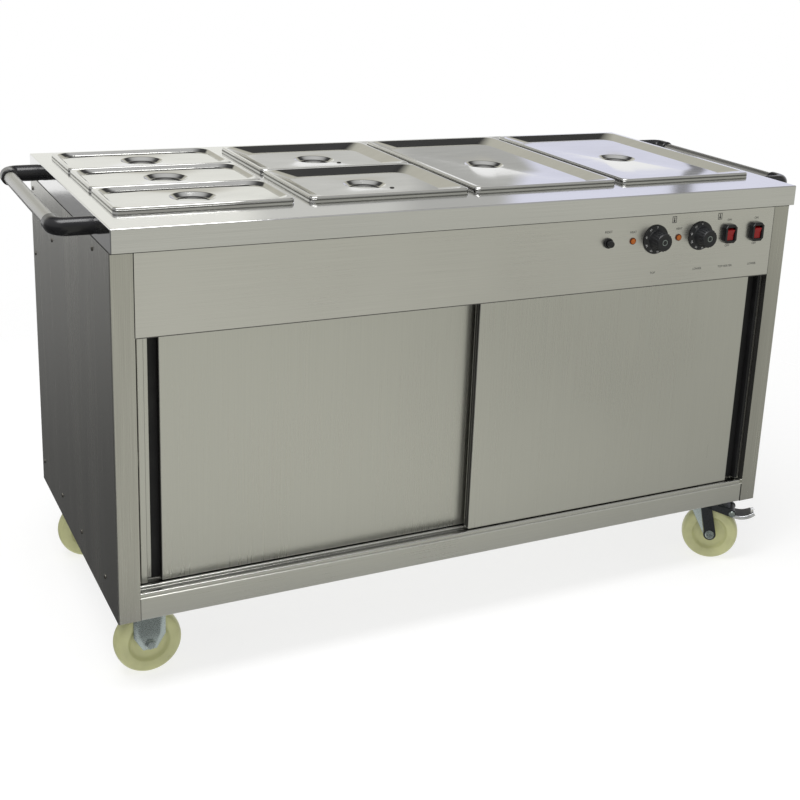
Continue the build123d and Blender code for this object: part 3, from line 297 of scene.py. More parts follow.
# %% Grey cards on the floor
EVEN = 1.0
# The front card darkens towards the trolley: a painted shadow of the trolley on the floor.
floor_card("front_card", (-0.72, -3.2), (2.8, -0.36), (
    (-3.2, (0.55, 0.55, 0.50)), (-1.2, (0.55, 0.55, 0.50)), (-0.80, (0.53, 0.53, 0.48)),
    (-0.62, (0.46, 0.46, 0.42)), (-0.52, 0.36), (-0.44, 0.28), (-0.36, 0.24)),
    ((-0.72, EVEN), (0.1, EVEN), (1.1, 0.74), (2.8, 0.70)))
floor_card("left_card", (-3.6, -0.34), (-0.72, 4.0), (
    (-0.34, 0.065), (0.8, 0.11), (2.0, 0.19), (4.0, 0.28)), ((-3.6, EVEN), (-0.72, EVEN)))
floor_card("corner_card", (-2.4, -2.2), (-0.73, -0.36), (
    (-2.2, 0.30), (-0.36, 0.10)), ((-2.4, EVEN), (-0.73, EVEN)))

# %% [markdown]
# ## Finishes
# Every finish is a small tree on Object coordinates, so it stays put when a piece moves.
# Brushed sheet gets long thin streaks: noise stretched along the grain drives the colour, the
# roughness and a faint bump. Broad soft noise adds the slight clouding of handled steel.


# %% A finish to start from
def start_finish(name, colour, metallic, roughness, **sockets):
    """A Principled material with its fixed values set on the shader itself."""
    made = bpy.data.materials.new(name)
    made.use_nodes = True
    shader = made.node_tree.nodes["Principled BSDF"]
    shader.inputs["Base Color"].default_value = (*colour, 1)
    shader.inputs["Metallic"].default_value = metallic
    shader.inputs["Roughness"].default_value = roughness
    for socket, value in sockets.items():
        shader.inputs[socket.replace("_", " ")].default_value = value
    return made, made.node_tree, shader

# %% Noise and its range
NOISE_LOW, NOISE_HIGH = 0.3, 0.7


def noise(tree, scale, detail=2.0):
    """Noise on Object coordinates, with its own scale per metre along X, Y and Z."""
    coords = add(tree, "ShaderNodeTexCoord").outputs["Object"]
    mapped = add(tree, "ShaderNodeMapping", {"Vector": coords, "Scale": scale})
    grains = {"Vector": mapped.outputs["Vector"], "Scale": 1.0, "Detail": detail}
    return add(tree, "ShaderNodeTexNoise", grains).outputs["Fac"]


def between(tree, factor, low, high):
    """A noise value spread over a range."""
    limits = {"Value": factor, "From Min": NOISE_LOW, "From Max": NOISE_HIGH, "To Min": low, "To Max": high}
    return add(tree, "ShaderNodeMapRange", limits).outputs["Result"]


# %% Colour and relief
def tint(tree, shader, factor, dark, pale):
    """Colour that moves between a dark and a pale tone."""
    tree.links.new(mix(tree, factor, (*dark, 1), (*pale, 1)), shader.inputs["Base Color"])


def bump(tree, shader, factor, strength, depth):
    """A shallow relief from a noise value."""
    made = add(tree, "ShaderNodeBump", {"Height": factor, "Strength": strength, "Distance": depth})
    tree.links.new(made.outputs["Normal"], shader.inputs["Normal"])


def shade(colour, amount):
    """A colour made darker or paler."""
    return tuple(min(1.0, channel * amount) for channel in colour)

# %% [markdown]
# Doors, panels and lids are the same steel. Brushing leaves long streaks along one direction, and
# polishing leaves only faint wiping marks. One function with many switches could make both, but
# two short ones are easier to read.

# %% Brushed and polished sheet
GRAIN_ACROSS, GRAIN_ALONG = 700.0, 5.0


def brushed_sheet(name, colour, grain, rough=(0.24, 0.36), cloud=(3.0, 3.0, 3.0),
                  spread=(0.92, 1.05), relief=0.06):
    """Stainless sheet with a grain along X, Y or Z, and a slow clouding."""
    made, tree, shader = start_finish(name, colour, 1.0, rough[0])
    scale = [GRAIN_ACROSS] * 3
    scale["XYZ".index(grain)] = GRAIN_ALONG
    streaks = noise(tree, scale, 3.0)
    clouds = noise(tree, cloud, 3.0)
    half = calc(tree, "MULTIPLY", calc(tree, "ADD", streaks, clouds), 0.5)
    dark, pale = (shade(colour, amount) for amount in spread)
    tint(tree, shader, between(tree, half, 0.0, 1.0), dark, pale)
    tree.links.new(between(tree, half, *rough), shader.inputs["Roughness"])
    bump(tree, shader, streaks, relief, depth=0.0002)
    return made


def polished_sheet(name, colour, rough=(0.05, 0.09)):
    """Pressed steel polished almost to a mirror, with faint wiping marks."""
    made, tree, shader = start_finish(name, colour, 1.0, rough[0])
    marks = noise(tree, (14.0, 40.0, 14.0), 4.0)
    tint(tree, shader, between(tree, marks, 0.0, 1.0), shade(colour, 0.95), shade(colour, 1.03))
    tree.links.new(between(tree, marks, *rough), shader.inputs["Roughness"])
    return made

# %% [markdown]
# The casters are plated, and plating has a fine spangle. Knobs, elbows, lamps and wheels are
# moulded, and moulding leaves one colour with a faint cloud and a fine skin. A photograph of
# the real surface could be mapped on, but noise fits every piece and needs no file.


# %% Plating and moulded plastic
def plated(name, colour, rough, mottle):
    """Zinc or chrome plating over pressed steel, with a fine spangle."""
    made, tree, shader = start_finish(name, colour, 1.0, rough)
    spangle = noise(tree, (mottle, mottle, mottle), 3.0)
    tint(tree, shader, between(tree, spangle, 0.0, 1.0), shade(colour, 0.85), shade(colour, 1.08))
    tree.links.new(between(tree, spangle, rough * 0.8, rough * 1.3), shader.inputs["Roughness"])
    bump(tree, shader, spangle, strength=0.05, depth=0.0003)
    return made


def moulded(name, colour, rough, speck=900.0, relief=0.04, **sockets):
    """Moulded plastic: one colour with a faint cloud and a fine moulding texture."""
    made, tree, shader = start_finish(name, colour, 0.0, rough, **sockets)
    cloud = noise(tree, (25.0, 25.0, 25.0), 3.0)
    tint(tree, shader, between(tree, cloud, 0.0, 1.0), shade(colour, 0.9), shade(colour, 1.08))
    tree.links.new(between(tree, cloud, rough * 0.85, rough * 1.2), shader.inputs["Roughness"])
    bump(tree, shader, noise(tree, (speck, speck, speck), 2.0), relief, depth=0.0002)
    return made

# %% [markdown]
# All finishes stand in one table, so their tones are easy to compare. A name is that of a material
# slot of the record, or of the piece that wears a tone of its own.

# %% All finishes
finishes = {
    "brushed_stainless": brushed_sheet("brushed_stainless", (0.70, 0.70, 0.655), "X"),
    "brushed_upright": brushed_sheet(
        "brushed_upright", (0.60, 0.595, 0.55), "Z", (0.2, 0.3), (16.0, 16.0, 0.8), (0.8, 1.1)),
    "worktop_steel": brushed_sheet("worktop_steel", (0.75, 0.75, 0.74), "X", (0.08, 0.12)),
    "fascia_steel": brushed_sheet("fascia_steel", (0.77, 0.765, 0.73), "X"),
    "door_steel": brushed_sheet(
        "door_steel", (0.70, 0.70, 0.655), "Z", spread=(0.95, 1.03), relief=0.02),
    "tube_steel": brushed_sheet("tube_steel", (0.47, 0.468, 0.45), "Y"),
    "polished_stainless": polished_sheet("polished_stainless", (0.68, 0.68, 0.665)),
    # painted shade: dark steel for the gap under the lid rims, the track grooves and the line on the right
    # door edge
    "painted_shade_band": plated("painted_shade_band", (0.20, 0.20, 0.19), 0.3, 900.0),
    "track_stainless": brushed_sheet("track_stainless", (0.64, 0.64, 0.61), "X", (0.2, 0.3)),
    "zinc_plated_steel": plated("zinc_plated_steel", (0.36, 0.41, 0.395), 0.26, 900.0),
    "screw_steel": plated("screw_steel", (0.20, 0.19, 0.17), 0.4, 900.0),
    # painted shade: darker zinc for the shade and dark reflections on the swivel fork legs
    "painted_shade_zinc": plated("painted_shade_zinc", (0.07, 0.075, 0.08), 0.30, 900.0),
    "chrome_pedal": plated("chrome_pedal", (0.75, 0.76, 0.78), 0.10, 60.0),
    "element_sheath": plated("element_sheath", (0.20, 0.185, 0.17), 0.45, 400.0),
    "black_gloss_plastic": moulded("black_gloss_plastic", (0.012, 0.012, 0.014), 0.22),
    "black_knob_plastic": moulded("black_knob_plastic", (0.014, 0.015, 0.017), 0.42),
    "red_rocker_plastic": moulded("red_rocker_plastic", (0.40, 0.010, 0.012), 0.22, relief=0.01),
    "amber_lens": moulded("amber_lens", (0.55, 0.14, 0.015), 0.15, relief=0.01),
    "amber_rim": moulded("amber_rim", (0.14, 0.03, 0.008), 0.3),
    "grey_plastic": moulded("grey_plastic", (0.16, 0.16, 0.17), 0.5),
    "nylon_glide": moulded("nylon_glide", (0.03, 0.03, 0.03), 0.45),
    "nylon_wheel": moulded("nylon_wheel", (0.60, 0.607, 0.315), 0.32, relief=0.03),
    "white_print": moulded("white_print", (0.80, 0.80, 0.80), 0.5, relief=0.01),
    "black_print": moulded("black_print", (0.04, 0.04, 0.045), 0.5, relief=0.01),
    # painted shade: near black for the shade in the door pull channels
    "channel_shade_black": moulded("channel_shade_black", (0.010, 0.010, 0.011), 0.6),
    # painted shade: near black in the deep joints and under overhangs, grey along the tight seams
    "joint_shadow": moulded("joint_shadow", (0.020, 0.019, 0.017), 0.7),
    "seam_shade": moulded("seam_shade", (0.10, 0.096, 0.088), 0.6),
}
print("finishes:", ", ".join(finishes))

# %% [markdown]
# The flat sheet parts look right as the CAD solids are, so they are only painted. Most take the
# finish of their material slot. End panels and doors have an upright grain, and the worktop and
# the fascia are brighter, so these take a finish of their own.

# %% Paint the CAD nodes
own_finish = {
    "left_end_panel": "brushed_upright", "right_end_panel": "brushed_upright",
    "left_door_skin": "door_steel", "right_door_skin": "door_steel",
    "worktop": "worktop_steel", "front_fascia": "fascia_steel"}
for part in frame["record"]["subparts"]:
    mesh = nodes[part["node"]].data
    mesh.materials.clear()
    mesh.materials.append(finishes[own_finish.get(part["node"], part["material_slot"])])
print("painted", len(nodes), "nodes")

# %% [markdown]
# ## Building pieces
# The CAD solids are exact, but their curves are cut into flat triangles and their pressed edges
# are sharp. The pieces that catch the eye are built again in mesh code, in millimetres, from
# rows of loops. Each one rides on the same CAD body and stands for the same CAD node.

# %% Shapes from loops
MM = 0.001


def skin(loops, first_cap=True, last_cap=True):
    """Faces over a row of closed loops that all have the same number of points."""
    count = len(loops[0])
    points = [point for loop in loops for point in loop]
    faces = []
    for start in range(0, count * (len(loops) - 1), count):
        for i in range(count):
            j = (i + 1) % count
            faces.append((start + i, start + j, start + count + j, start + count + i))
    if first_cap:
        faces.append(tuple(range(count)))
    if last_cap:
        faces.append(tuple(range(len(points) - count, len(points))))
    return points, faces


def at(origin, across, up):
    """A function that turns local sizes (across, up, outward) into a place on the trolley."""
    origin, across, up = Vector(origin), Vector(across), Vector(up)
    outward = across.cross(up)
    return lambda u, v, w: origin + across * u + up * v + outward * w


def lathe(profile, place, steps=48):
    """A turned shape from (radius, distance along the axis) pairs."""
    loops = []
    for radius, along in profile:
        loops.append([place(radius * cos(tau * k / steps), radius * sin(tau * k / steps), along)
                      for k in range(steps)])
    ring = profile[0] == profile[-1]
    return skin(loops, profile[0][0] > 0 and not ring, profile[-1][0] > 0 and not ring)


UPRIGHT = at((0, 0, 0), (1, 0, 0), (0, 1, 0))
print("a turned hexagon has", len(lathe(((1.0, 0.0), (1.0, 1.0)), UPRIGHT, 6)[1]), "faces")

# %% [markdown]
# A piece joins one or more shapes in one mesh. Points that fall together are merged and the
# faces are turned outward before a wall gets its thickness. Bevels would round the edges too,
# but here the loops already hold the roundings, so smooth shading with marked edges is enough.


# %% From shapes to one mesh
def mesh_of(name, shapes):
    """One mesh, in metres, from several shapes in millimetres."""
    points, faces = [], []
    for shape_points, shape_faces in shapes:
        first = len(points)
        points += [Vector(point) * MM for point in shape_points]
        faces += [[first + i for i in face] for face in shape_faces]
    mesh = bpy.data.meshes.new(name)
    mesh.from_pydata(points, [], faces)
    return mesh


def finish_piece(made, body, slot, stands_for=(), sharp=35, wall=0.0):
    """Cleans a mesh, then gives it its finish, its body and the CAD nodes it stands for."""
    edit = bmesh.new()
    edit.from_mesh(made.data)
    bmesh.ops.remove_doubles(edit, verts=edit.verts, dist=1e-6)
    bmesh.ops.dissolve_degenerate(edit, edges=edit.edges, dist=1e-7)
    bmesh.ops.recalc_face_normals(edit, faces=edit.faces)
    for face in edit.faces:
        face.smooth = True
    for edge in edit.edges:
        edge.smooth = edge.calc_face_angle(0) < radians(sharp)
    edit.to_mesh(made.data)
    edit.free()
    made.data.materials.clear()
    made.data.materials.append(finishes[slot])
    if made.name not in scene.collection.objects:
        scene.collection.objects.link(made)
    if wall:
        solid = made.modifiers.new("wall", "SOLIDIFY")
        solid.thickness = wall * MM
        solid.offset = -1.0
    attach(made, body)
    if stands_for:
        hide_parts(*stands_for)
    print(made.name, len(made.data.polygons), "faces, rides on", body)


def piece(name, shapes, body, slot, stands_for=(), sharp=35, wall=0.0):
    """One object made of several shapes, smooth except where faces meet at more than an angle."""
    made = bpy.data.objects.new(name, mesh_of(name, shapes))
    finish_piece(made, body, slot, stands_for, sharp, wall)

# %% [markdown]
# ## Lids
# Each lid is one pressed sheet: a turned-down rim, a sloping recess with rounded corners, a
# flat panel and a round dimple for the fingers. A loft of rounded rectangles that becomes a
# loft of circles gives all of it in one skin, and Solidify makes it a sheet. The two half
# lids have a small vent beside the dimple. A dark band paints the shade in the gap between the
# lid and the rim of the pan.

# %% Lid loops
CORNER_POINTS = 13


def rounded_loop(middle, width, depth, radius, z):
    """A rounded rectangle, with the same number of points in each corner."""
    loop = []
    for corner, (sx, sy) in enumerate(((1, 1), (-1, 1), (-1, -1), (1, -1))):
        for k in range(CORNER_POINTS):
            turn = radians(90 * (corner + k / (CORNER_POINTS - 1)))
            loop.append((middle[0] + sx * (width / 2 - radius) + radius * cos(turn),
                         middle[1] + sy * (depth / 2 - radius) + radius * sin(turn), z))
    return loop


def round_loop(middle, radius, z):
    """A circle with as many points as a rounded rectangle."""
    count = 4 * CORNER_POINTS
    turns = [tau * (k + 0.5) / count for k in range(count)]
    return [(middle[0] + radius * cos(turn), middle[1] + radius * sin(turn), z) for turn in turns]

# %% Rings of a pressed lid
RIM_CORNER, PANEL_CORNER, CORNER_GROWTH, BEND_EASE = 12.0, 14.0, 20.0, 8.0
PRESSINGS = {"third": (8.0, 6.0, 2.0), "larger": (30.0, 10.0, 4.0)}


def lid_rings(slope, recess, bend):
    """Inset, drop below the top and corner radius of each ring, from the rim to the panel."""
    edge, border = 2.5, 6.0
    rings = [(1.0, 5.0, 11.0), (0.3, 4.4, 11.7), (0.0, 3.4, RIM_CORNER), (0.0, edge, RIM_CORNER)]
    for turn in (22.5, 45.0, 67.5, 90.0):
        inset = edge * (1 - cos(radians(turn)))
        rings.append((inset, edge * (1 - sin(radians(turn))), RIM_CORNER - inset * 0.5))
    tilt = atan(recess / slope)
    run = (recess - 2 * bend * (1 - cos(tilt))) / tan(tilt)
    foot = border + 2 * bend * sin(tilt) + run
    corner = lambda inset: PANEL_CORNER + CORNER_GROWTH * (inset - edge) / (foot - edge)
    for part in (0.0, 0.33, 0.66, 1.0):
        inset = border + bend * sin(tilt * part)
        rings.append((inset, bend * (1 - cos(tilt * part)), corner(inset) + BEND_EASE))
    for part in (1.0, 0.66, 0.33, 0.0):
        inset = foot - bend * sin(tilt * part)
        rings.append((inset, recess - bend * (1 - cos(tilt * part)), corner(inset)))
    return rings


for kind, sizes in PRESSINGS.items():
    print(kind, "lid with", len(lid_rings(*sizes)), "rings from rim to panel")

# %% [markdown]
# The lids come in three sizes. The small ones have a short, shallow slope and the others a broad
# one, so the same function gets one of two sets of sizes. The box of each CAD lid gives its place,
# and the band of painted shade rides on the pan, because it stays when the lid is lifted.

# %% Seven lids
DIMPLE = ((43.0, 0.0), (41.8, 0.15), (40.8, 0.6), (39.8, 1.25), (33.4, 5.9), (32.4, 6.5),
          (31.0, 6.9), (29.4, 7.1), (14.0, 7.3), (0.0, 7.3))
RIM_SHADE_ROWS = ((-0.4, 7.0), (0.1, 7.0), (0.1, 5.1), (-0.4, 5.1), (-0.4, 7.0))
VENT_ASIDE, VENT_AHEAD = 38.0, 45.0
VENT = ((4.6, 0.0), (4.5, 0.5), (3.9, 0.9), (3.2, 0.8), (2.8, 0.3), (0.0, 0.2))

places = [name[:-4] for name in nodes if name.endswith("_lid")]
for place_name in sorted(places):
    low, high = (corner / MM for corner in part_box(f"{place_name}_lid"))
    middle = (low + high) / 2
    size = high - low
    top = high.z
    slope, recess, bend = PRESSINGS["third" if "_third_" in place_name else "larger"]
    loops = [rounded_loop(middle, size.x - 2 * inset, size.y - 2 * inset, radius, top - drop)
             for inset, drop, radius in lid_rings(slope, recess, bend)]
    loops += [round_loop(middle, radius, top - recess - drop) for radius, drop in DIMPLE]
    piece(f"{place_name}_pressed_lid", [skin(loops, False, False)], f"lid_{place_name}",
          "polished_stainless", [f"{place_name}_lid"], wall=1.0)
    # A dark band just under the lid edge, round the pan rim: painted shade of the gap under the lid.
    band = [rounded_loop(middle, size.x + out, size.y + out, RIM_CORNER + out / 2, top - drop)
            for out, drop in RIM_SHADE_ROWS]
    piece(f"{place_name}_rim_band", [skin(band, False, False)], f"pan_{place_name}", "painted_shade_band")
    # The vent is all dark: a ring and disc painted for the shade of its hole.
    if "half" in place_name:
        spot = (middle.x + VENT_ASIDE, middle.y - VENT_AHEAD, top - recess)
        vent = at(spot, (1, 0, 0), (0, 1, 0))
        piece(f"{place_name}_vent", [lathe(VENT, vent, 24)], f"lid_{place_name}", "joint_shadow")

# %% [markdown]
# ## Handles
# A steel tube runs across each end, plugged into two black elbows that are bolted to the skirt
# of the worktop. An elbow is a row of circles along an arm, round a tight bend and into a
# thicker collar whose mouth holds the tube.


# %% Circles along a path
def ring_at(centre, ahead, radius, steps=32):
    """A circle round a level path, square to its direction."""
    sideways, up = Vector((-ahead[1], ahead[0], 0)), Vector((0, 0, 1))
    turns = [tau * k / steps for k in range(steps)]
    return [Vector(centre) + sideways * (radius * cos(turn)) + up * (radius * sin(turn)) for turn in turns]

# %% Elbows
handle_low, handle_high = (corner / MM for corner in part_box("handle_elbows"))
handle_z = (handle_low.z + handle_high.z) / 2
ARM_RADIUS = (handle_high.z - handle_low.z) / 2
END_X = 715.0
BEND = 20.0
COLLAR = 22.0
ARM = ((0.0, 15.4), (3.0, 15.4), (5.0, 16.0), (30.0, 16.0))
MOUTH = ((4.0, 16.0), (3.0, 15.2), (1.0, 15.2), (0.3, 14.8), (0.0, 14.2), (0.0, 12.9), (14.0, 12.9))
bar_x = handle_high.x - ARM_RADIUS
elbows = []
for side in (-1, 1):
    for arm_y, toward in ((handle_low.y + ARM_RADIUS, 1), (handle_high.y - ARM_RADIUS, -1)):
        out = Vector((side, 0, 0))
        along = Vector((0, toward, 0))
        rows = [(Vector((side * (END_X + reach), arm_y, handle_z)), out, radius)
                for reach, radius in ARM]
        hub = Vector((side * (bar_x - BEND), arm_y + toward * BEND, handle_z))
        for step in range(13):
            turn = radians(90 * step / 12)
            rows.append((hub + out * (BEND * sin(turn)) - along * (BEND * cos(turn)),
                         out * cos(turn) + along * sin(turn), ARM_RADIUS))
        mouth = Vector((side * bar_x, arm_y + toward * (BEND + COLLAR), handle_z))
        for back, radius in MOUTH:
            rows.append((mouth - along * back, along, radius))
        elbows.append(skin([ring_at(*row) for row in rows]))
piece("handle_black_elbows", elbows, "cabinet", "black_gloss_plastic", ["handle_elbows"])

# %% [markdown]
# The tubes are hollow, because their ends would show if an elbow came off. A cylinder with a
# Boolean hole would do, but one turned outline that comes back to its start is simpler.

# %% Tubes
TUBE_RADIUS, TUBE_BORE, TUBE_EDGE = 12.5, 11.0, 0.5
tube_low, tube_high = (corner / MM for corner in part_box("handle_tubes"))
tubes = []
for side in (-1, 1):
    place = at((side * bar_x, tube_low.y, handle_z), (1, 0, 0), (0, 0, -1))
    long = tube_high.y - tube_low.y
    outside = [(TUBE_RADIUS - TUBE_EDGE, 0.0), (TUBE_RADIUS, TUBE_EDGE),
               (TUBE_RADIUS, long - TUBE_EDGE), (TUBE_RADIUS - TUBE_EDGE, long)]
    tubes.append(lathe([(TUBE_BORE, 0.0), *outside, (TUBE_BORE, long), (TUBE_BORE, 0.0)], place))
piece("handle_steel_tubes", tubes, "cabinet", "tube_steel", ["handle_tubes"])

# %% [markdown]
# ## Controls
# The thermostat knobs have a numbered skirt and a ribbed grip. The grip is turned on a lathe,
# and a Geometry Nodes tree sets a ring of ribs on it, because ribs are one shape repeated
# round a circle. Numbers are text turned into flat meshes that lie just proud of the skirt.


# %% Helpers for Geometry Nodes
def geometry_tree(name, inputs):
    """An empty tree with a geometry input, named inputs and a geometry output."""
    tree = bpy.data.node_groups.new(name, "GeometryNodeTree")
    tree.interface.new_socket("Geometry", in_out="INPUT", socket_type="NodeSocketGeometry")
    for label, kind in inputs:
        tree.interface.new_socket(label, in_out="INPUT", socket_type=kind)
    tree.interface.new_socket("Geometry", in_out="OUTPUT", socket_type="NodeSocketGeometry")
    return tree, tree.nodes.new("NodeGroupInput").outputs


def end_tree(tree, instances, material):
    """Turns the instances into one real mesh with a finish."""
    real = add(tree, "GeometryNodeRealizeInstances", {"Geometry": instances})
    painted = add(tree, "GeometryNodeSetMaterial", {"Geometry": real.outputs[0], "Material": material})
    tree.links.new(painted.outputs[0], tree.nodes.new("NodeGroupOutput").inputs[0])
    print("tree", tree.name, "with", len(tree.nodes), "nodes")

# %% [markdown]
# The ring tree makes a circle of points, turns each point outward by its number and sets a rib
# there. The count and the radius stay inputs, so the same tree serves any grip.

# %% A tree that sets copies in a ring
ring_tree, given = geometry_tree("ribs_round_a_grip", [
    ("Count", "NodeSocketInt"), ("Radius", "NodeSocketFloat"), ("Rib", "NodeSocketObject"),
    ("Finish", "NodeSocketMaterial")])
circle = add(ring_tree, "GeometryNodeMeshCircle", {"Vertices": given["Count"], "Radius": given["Radius"]})
number = add(ring_tree, "GeometryNodeInputIndex")
turn = calc(ring_tree, "MULTIPLY", number.outputs[0], calc(ring_tree, "DIVIDE", tau, given["Count"]))
facing = add(ring_tree, "ShaderNodeCombineXYZ", {"Z": turn})
rib = add(ring_tree, "GeometryNodeObjectInfo", {"Object": given["Rib"]})
copies = add(ring_tree, "GeometryNodeInstanceOnPoints", {
    "Points": circle.outputs[0], "Instance": rib.outputs["Geometry"], "Rotation": facing.outputs[0]})
end_tree(ring_tree, copies.outputs[0], given["Finish"])

# %% [markdown]
# A tree could stay live on its object. Here its result is kept as a plain mesh, so that it can be
# moved, cleaned and painted like every other piece.


# %% Run a tree and keep its mesh
def plain_mesh(thing):
    """The mesh of an object as its modifiers or its text leave it."""
    graph = bpy.context.evaluated_depsgraph_get()
    return bpy.data.meshes.new_from_object(thing.evaluated_get(graph))


def grow(name, tree, values, points=((0, 0, 0),)):
    """Runs a tree on loose points and keeps the result as a plain mesh."""
    mesh = bpy.data.meshes.new(name)
    mesh.from_pydata([Vector(point) for point in points], [], [])
    made = bpy.data.objects.new(name, mesh)
    scene.collection.objects.link(made)
    modifier = made.modifiers.new(tree.name, "NODES")
    modifier.node_group = tree
    for item in tree.interface.items_tree:
        if item.in_out == "INPUT" and item.name in values:
            modifier[item.identifier] = values[item.name]
    result = plain_mesh(made)
    made.modifiers.remove(modifier)
    made.data = result
    return made


def pattern_of(name, shapes):
    """A loose shape, in metres, that a tree copies. It is deleted after use."""
    made = bpy.data.objects.new(name, mesh_of(name, shapes))
    scene.collection.objects.link(made)
    return made

# %% [markdown]
# Printed words could be an image on the sheet. Text turned into a thin mesh stays sharp at any
# distance and needs no file, so numbers and words are made that way.

# %% Letters as flat meshes
LETTER_HALF = 0.05
print("letters are", 2 * LETTER_HALF, "mm thick")


def letters(words, size, place, lift=0.0, turn=0.0, shift=(0.0, 0.0)):
    """Words as a thin mesh at a place, turned and then shifted in its plane."""
    text = bpy.data.curves.new("letters", "FONT")
    text.body = words
    text.size = size
    text.align_x = "CENTER"
    text.align_y = "CENTER"
    text.extrude = LETTER_HALF
    text.resolution_u = 3
    holder = bpy.data.objects.new("letters", text)
    scene.collection.objects.link(holder)
    flat = plain_mesh(holder)
    bpy.data.objects.remove(holder)
    c, s = cos(turn), sin(turn)
    points = []
    for x, y, z in (vertex.co for vertex in flat.vertices):
        points.append(place(c * x - s * y + shift[0], s * x + c * y + shift[1], z + lift))
    faces = [tuple(polygon.vertices) for polygon in flat.polygons]
    bpy.data.meshes.remove(flat)
    return points, faces

# %% [markdown]
# The skirt, the grip and its hollow end are one turned outline, and a plated ring sits in that
# end. The ribs sink a little into the grip, so no Boolean is needed to join them to it.

# %% Sizes of a knob
FACE_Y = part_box("front_fascia")[0].y / MM
KNOB = ((28.0, 0.6), (29.6, 0.8), (30.0, 1.3), (30.0, 2.2), (29.4, 3.0), (28.0, 3.4), (22.0, 4.4),
        (21.0, 4.9), (20.0, 6.0), (19.4, 8.0), (17.6, 30.6), (17.2, 32.0), (16.2, 32.9), (15.0, 33.0),
        (9.0, 33.0), (8.2, 32.4), (0.0, 32.2))
GRIP_RIB = ((0.0, 7.0), (0.7, 7.3), (1.1, 8.2), (1.1, 29.0), (0.7, 29.9), (0.0, 30.2))
CAP = ((6.2, 32.0), (6.2, 32.6), (5.8, 32.9), (4.9, 32.9), (4.5, 32.6), (4.5, 32.0))
SCALE_WORDS = ("0", "30", "40", "50", "60", "70", "80", "90")
RIBS, RIB_CIRCLE = 20, 18.3
NUMBER_SIZE, NUMBER_CIRCLE, NUMBER_LIFT = 5.6, 25.2, 4.1
SCALE_TURN = 270.0
print("knob of", len(KNOB), "rings with", RIBS, "ribs")

# %% Two thermostat knobs
for side in ("left", "right"):
    low, high = (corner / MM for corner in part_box(f"{side}_thermostat_knob"))
    place = at(((low.x + high.x) / 2, FACE_Y, (low.z + high.z) / 2), (1, 0, 0), (0, 0, 1))
    body = f"{side}_knob"
    piece(f"{side}_knob_turned", [lathe(KNOB, place, 72)], body, "black_knob_plastic",
          [f"{side}_thermostat_knob"])
    rib_shape = pattern_of("rib", [lathe(GRIP_RIB, UPRIGHT, 8)])
    ribs = grow(f"{side}_knob_ribs", ring_tree, {
        "Count": RIBS, "Radius": RIB_CIRCLE * MM, "Rib": rib_shape, "Finish": finishes["black_knob_plastic"]})
    bpy.data.objects.remove(rib_shape)
    for vertex in ribs.data.vertices:
        vertex.co = place(*(vertex.co / MM)) * MM
    finish_piece(ribs, body, "black_knob_plastic")
    piece(f"{side}_knob_cap", [lathe(CAP, place, 32)], body, "zinc_plated_steel")
    marks = []
    for index, words in enumerate(SCALE_WORDS):
        clock = radians(90.0 + SCALE_TURN * index / (len(SCALE_WORDS) - 1))
        shift = (NUMBER_CIRCLE * cos(clock), NUMBER_CIRCLE * sin(clock))
        marks.append(letters(words, NUMBER_SIZE, place, NUMBER_LIFT, clock - pi / 2, shift))
    piece(f"{side}_knob_numbers", marks, body, "white_print")

# %% [markdown]
# Each switch is a red rocker in an eight-sided black bezel. A bezel could be a box with its
# corners cut by Booleans. A loft of eight-sided loops, out of the sheet and back into the
# window, gives the same with soft edges.


# %% Eight-sided loops
def octagon(width, height, cut, place, lift):
    """An eight-sided loop: a rectangle with its corners cut off."""
    w, h = width / 2, height / 2
    corners = ((w, -h + cut), (w, h - cut), (w - cut, h), (-w + cut, h),
               (-w, h - cut), (-w, -h + cut), (-w + cut, -h), (w - cut, -h))
    return [place(u, v, lift) for u, v in corners]


# %% Where the switches are
def middle_x(node):
    """The middle of a CAD node along X, in millimetres."""
    low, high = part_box(node)
    return (low.x + high.x) / 2 / MM


housing_low, housing_high = (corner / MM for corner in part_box("switch_housings"))
control_z = (housing_low.z + housing_high.z) / 2
switch_x = [middle_x(f"{side}_rocker") for side in ("left", "right")]
print("switches at", [round(x, 1) for x in switch_x], "mm along and", round(control_z, 1), "mm up")

# %% Switch bezels
BEZEL_RISE = FACE_Y - housing_low.y
BEZEL = ((31.0, 39.0, 6.0, 0.0), (31.0, 39.0, 6.0, BEZEL_RISE - 2.0), (30.2, 38.2, 5.8, BEZEL_RISE - 0.7),
         (28.8, 36.8, 5.3, BEZEL_RISE), (20.6, 28.8, 0.9, BEZEL_RISE), (19.6, 27.6, 0.6, BEZEL_RISE - 0.6),
         (19.0, 27.0, 0.3, BEZEL_RISE - 1.6), (19.0, 27.0, 0.3, -13.0))
BEZEL_BACK = ((31.0, 39.0, 6.0, 0.0), (23.0, 32.0, 1.0, 0.0), (23.0, 32.0, 1.0, -28.0))
bezels = []
for x in switch_x:
    place = at((x, FACE_Y, control_z), (1, 0, 0), (0, 0, 1))
    for rows in (BEZEL, BEZEL_BACK):
        loops = [octagon(width, height, cut, place, lift) for width, height, cut, lift in rows]
        bezels.append(skin(loops, False))
piece("switch_bezels", bezels, "cabinet", "black_gloss_plastic", ["switch_housings"], sharp=28)

# %% [markdown]
# A rocker tips in its window, so its ends must clear the window in both states. Its side view is
# drawn from the pivot: each end point keeps the same clearance, and the front is a shallow V.
# Four such outlines, the outer two a little smaller, give the width with soft edges.

# %% Rockers
PIVOT_DROP, WINDOW_HALF, THROW, ROCKER_NOSE = 6.0, 13.2, 9.0, 13.4
ROCKER_ROWS = ((-9.0, 0.7), (-8.3, 0.0), (8.3, 0.0), (9.0, 0.7))


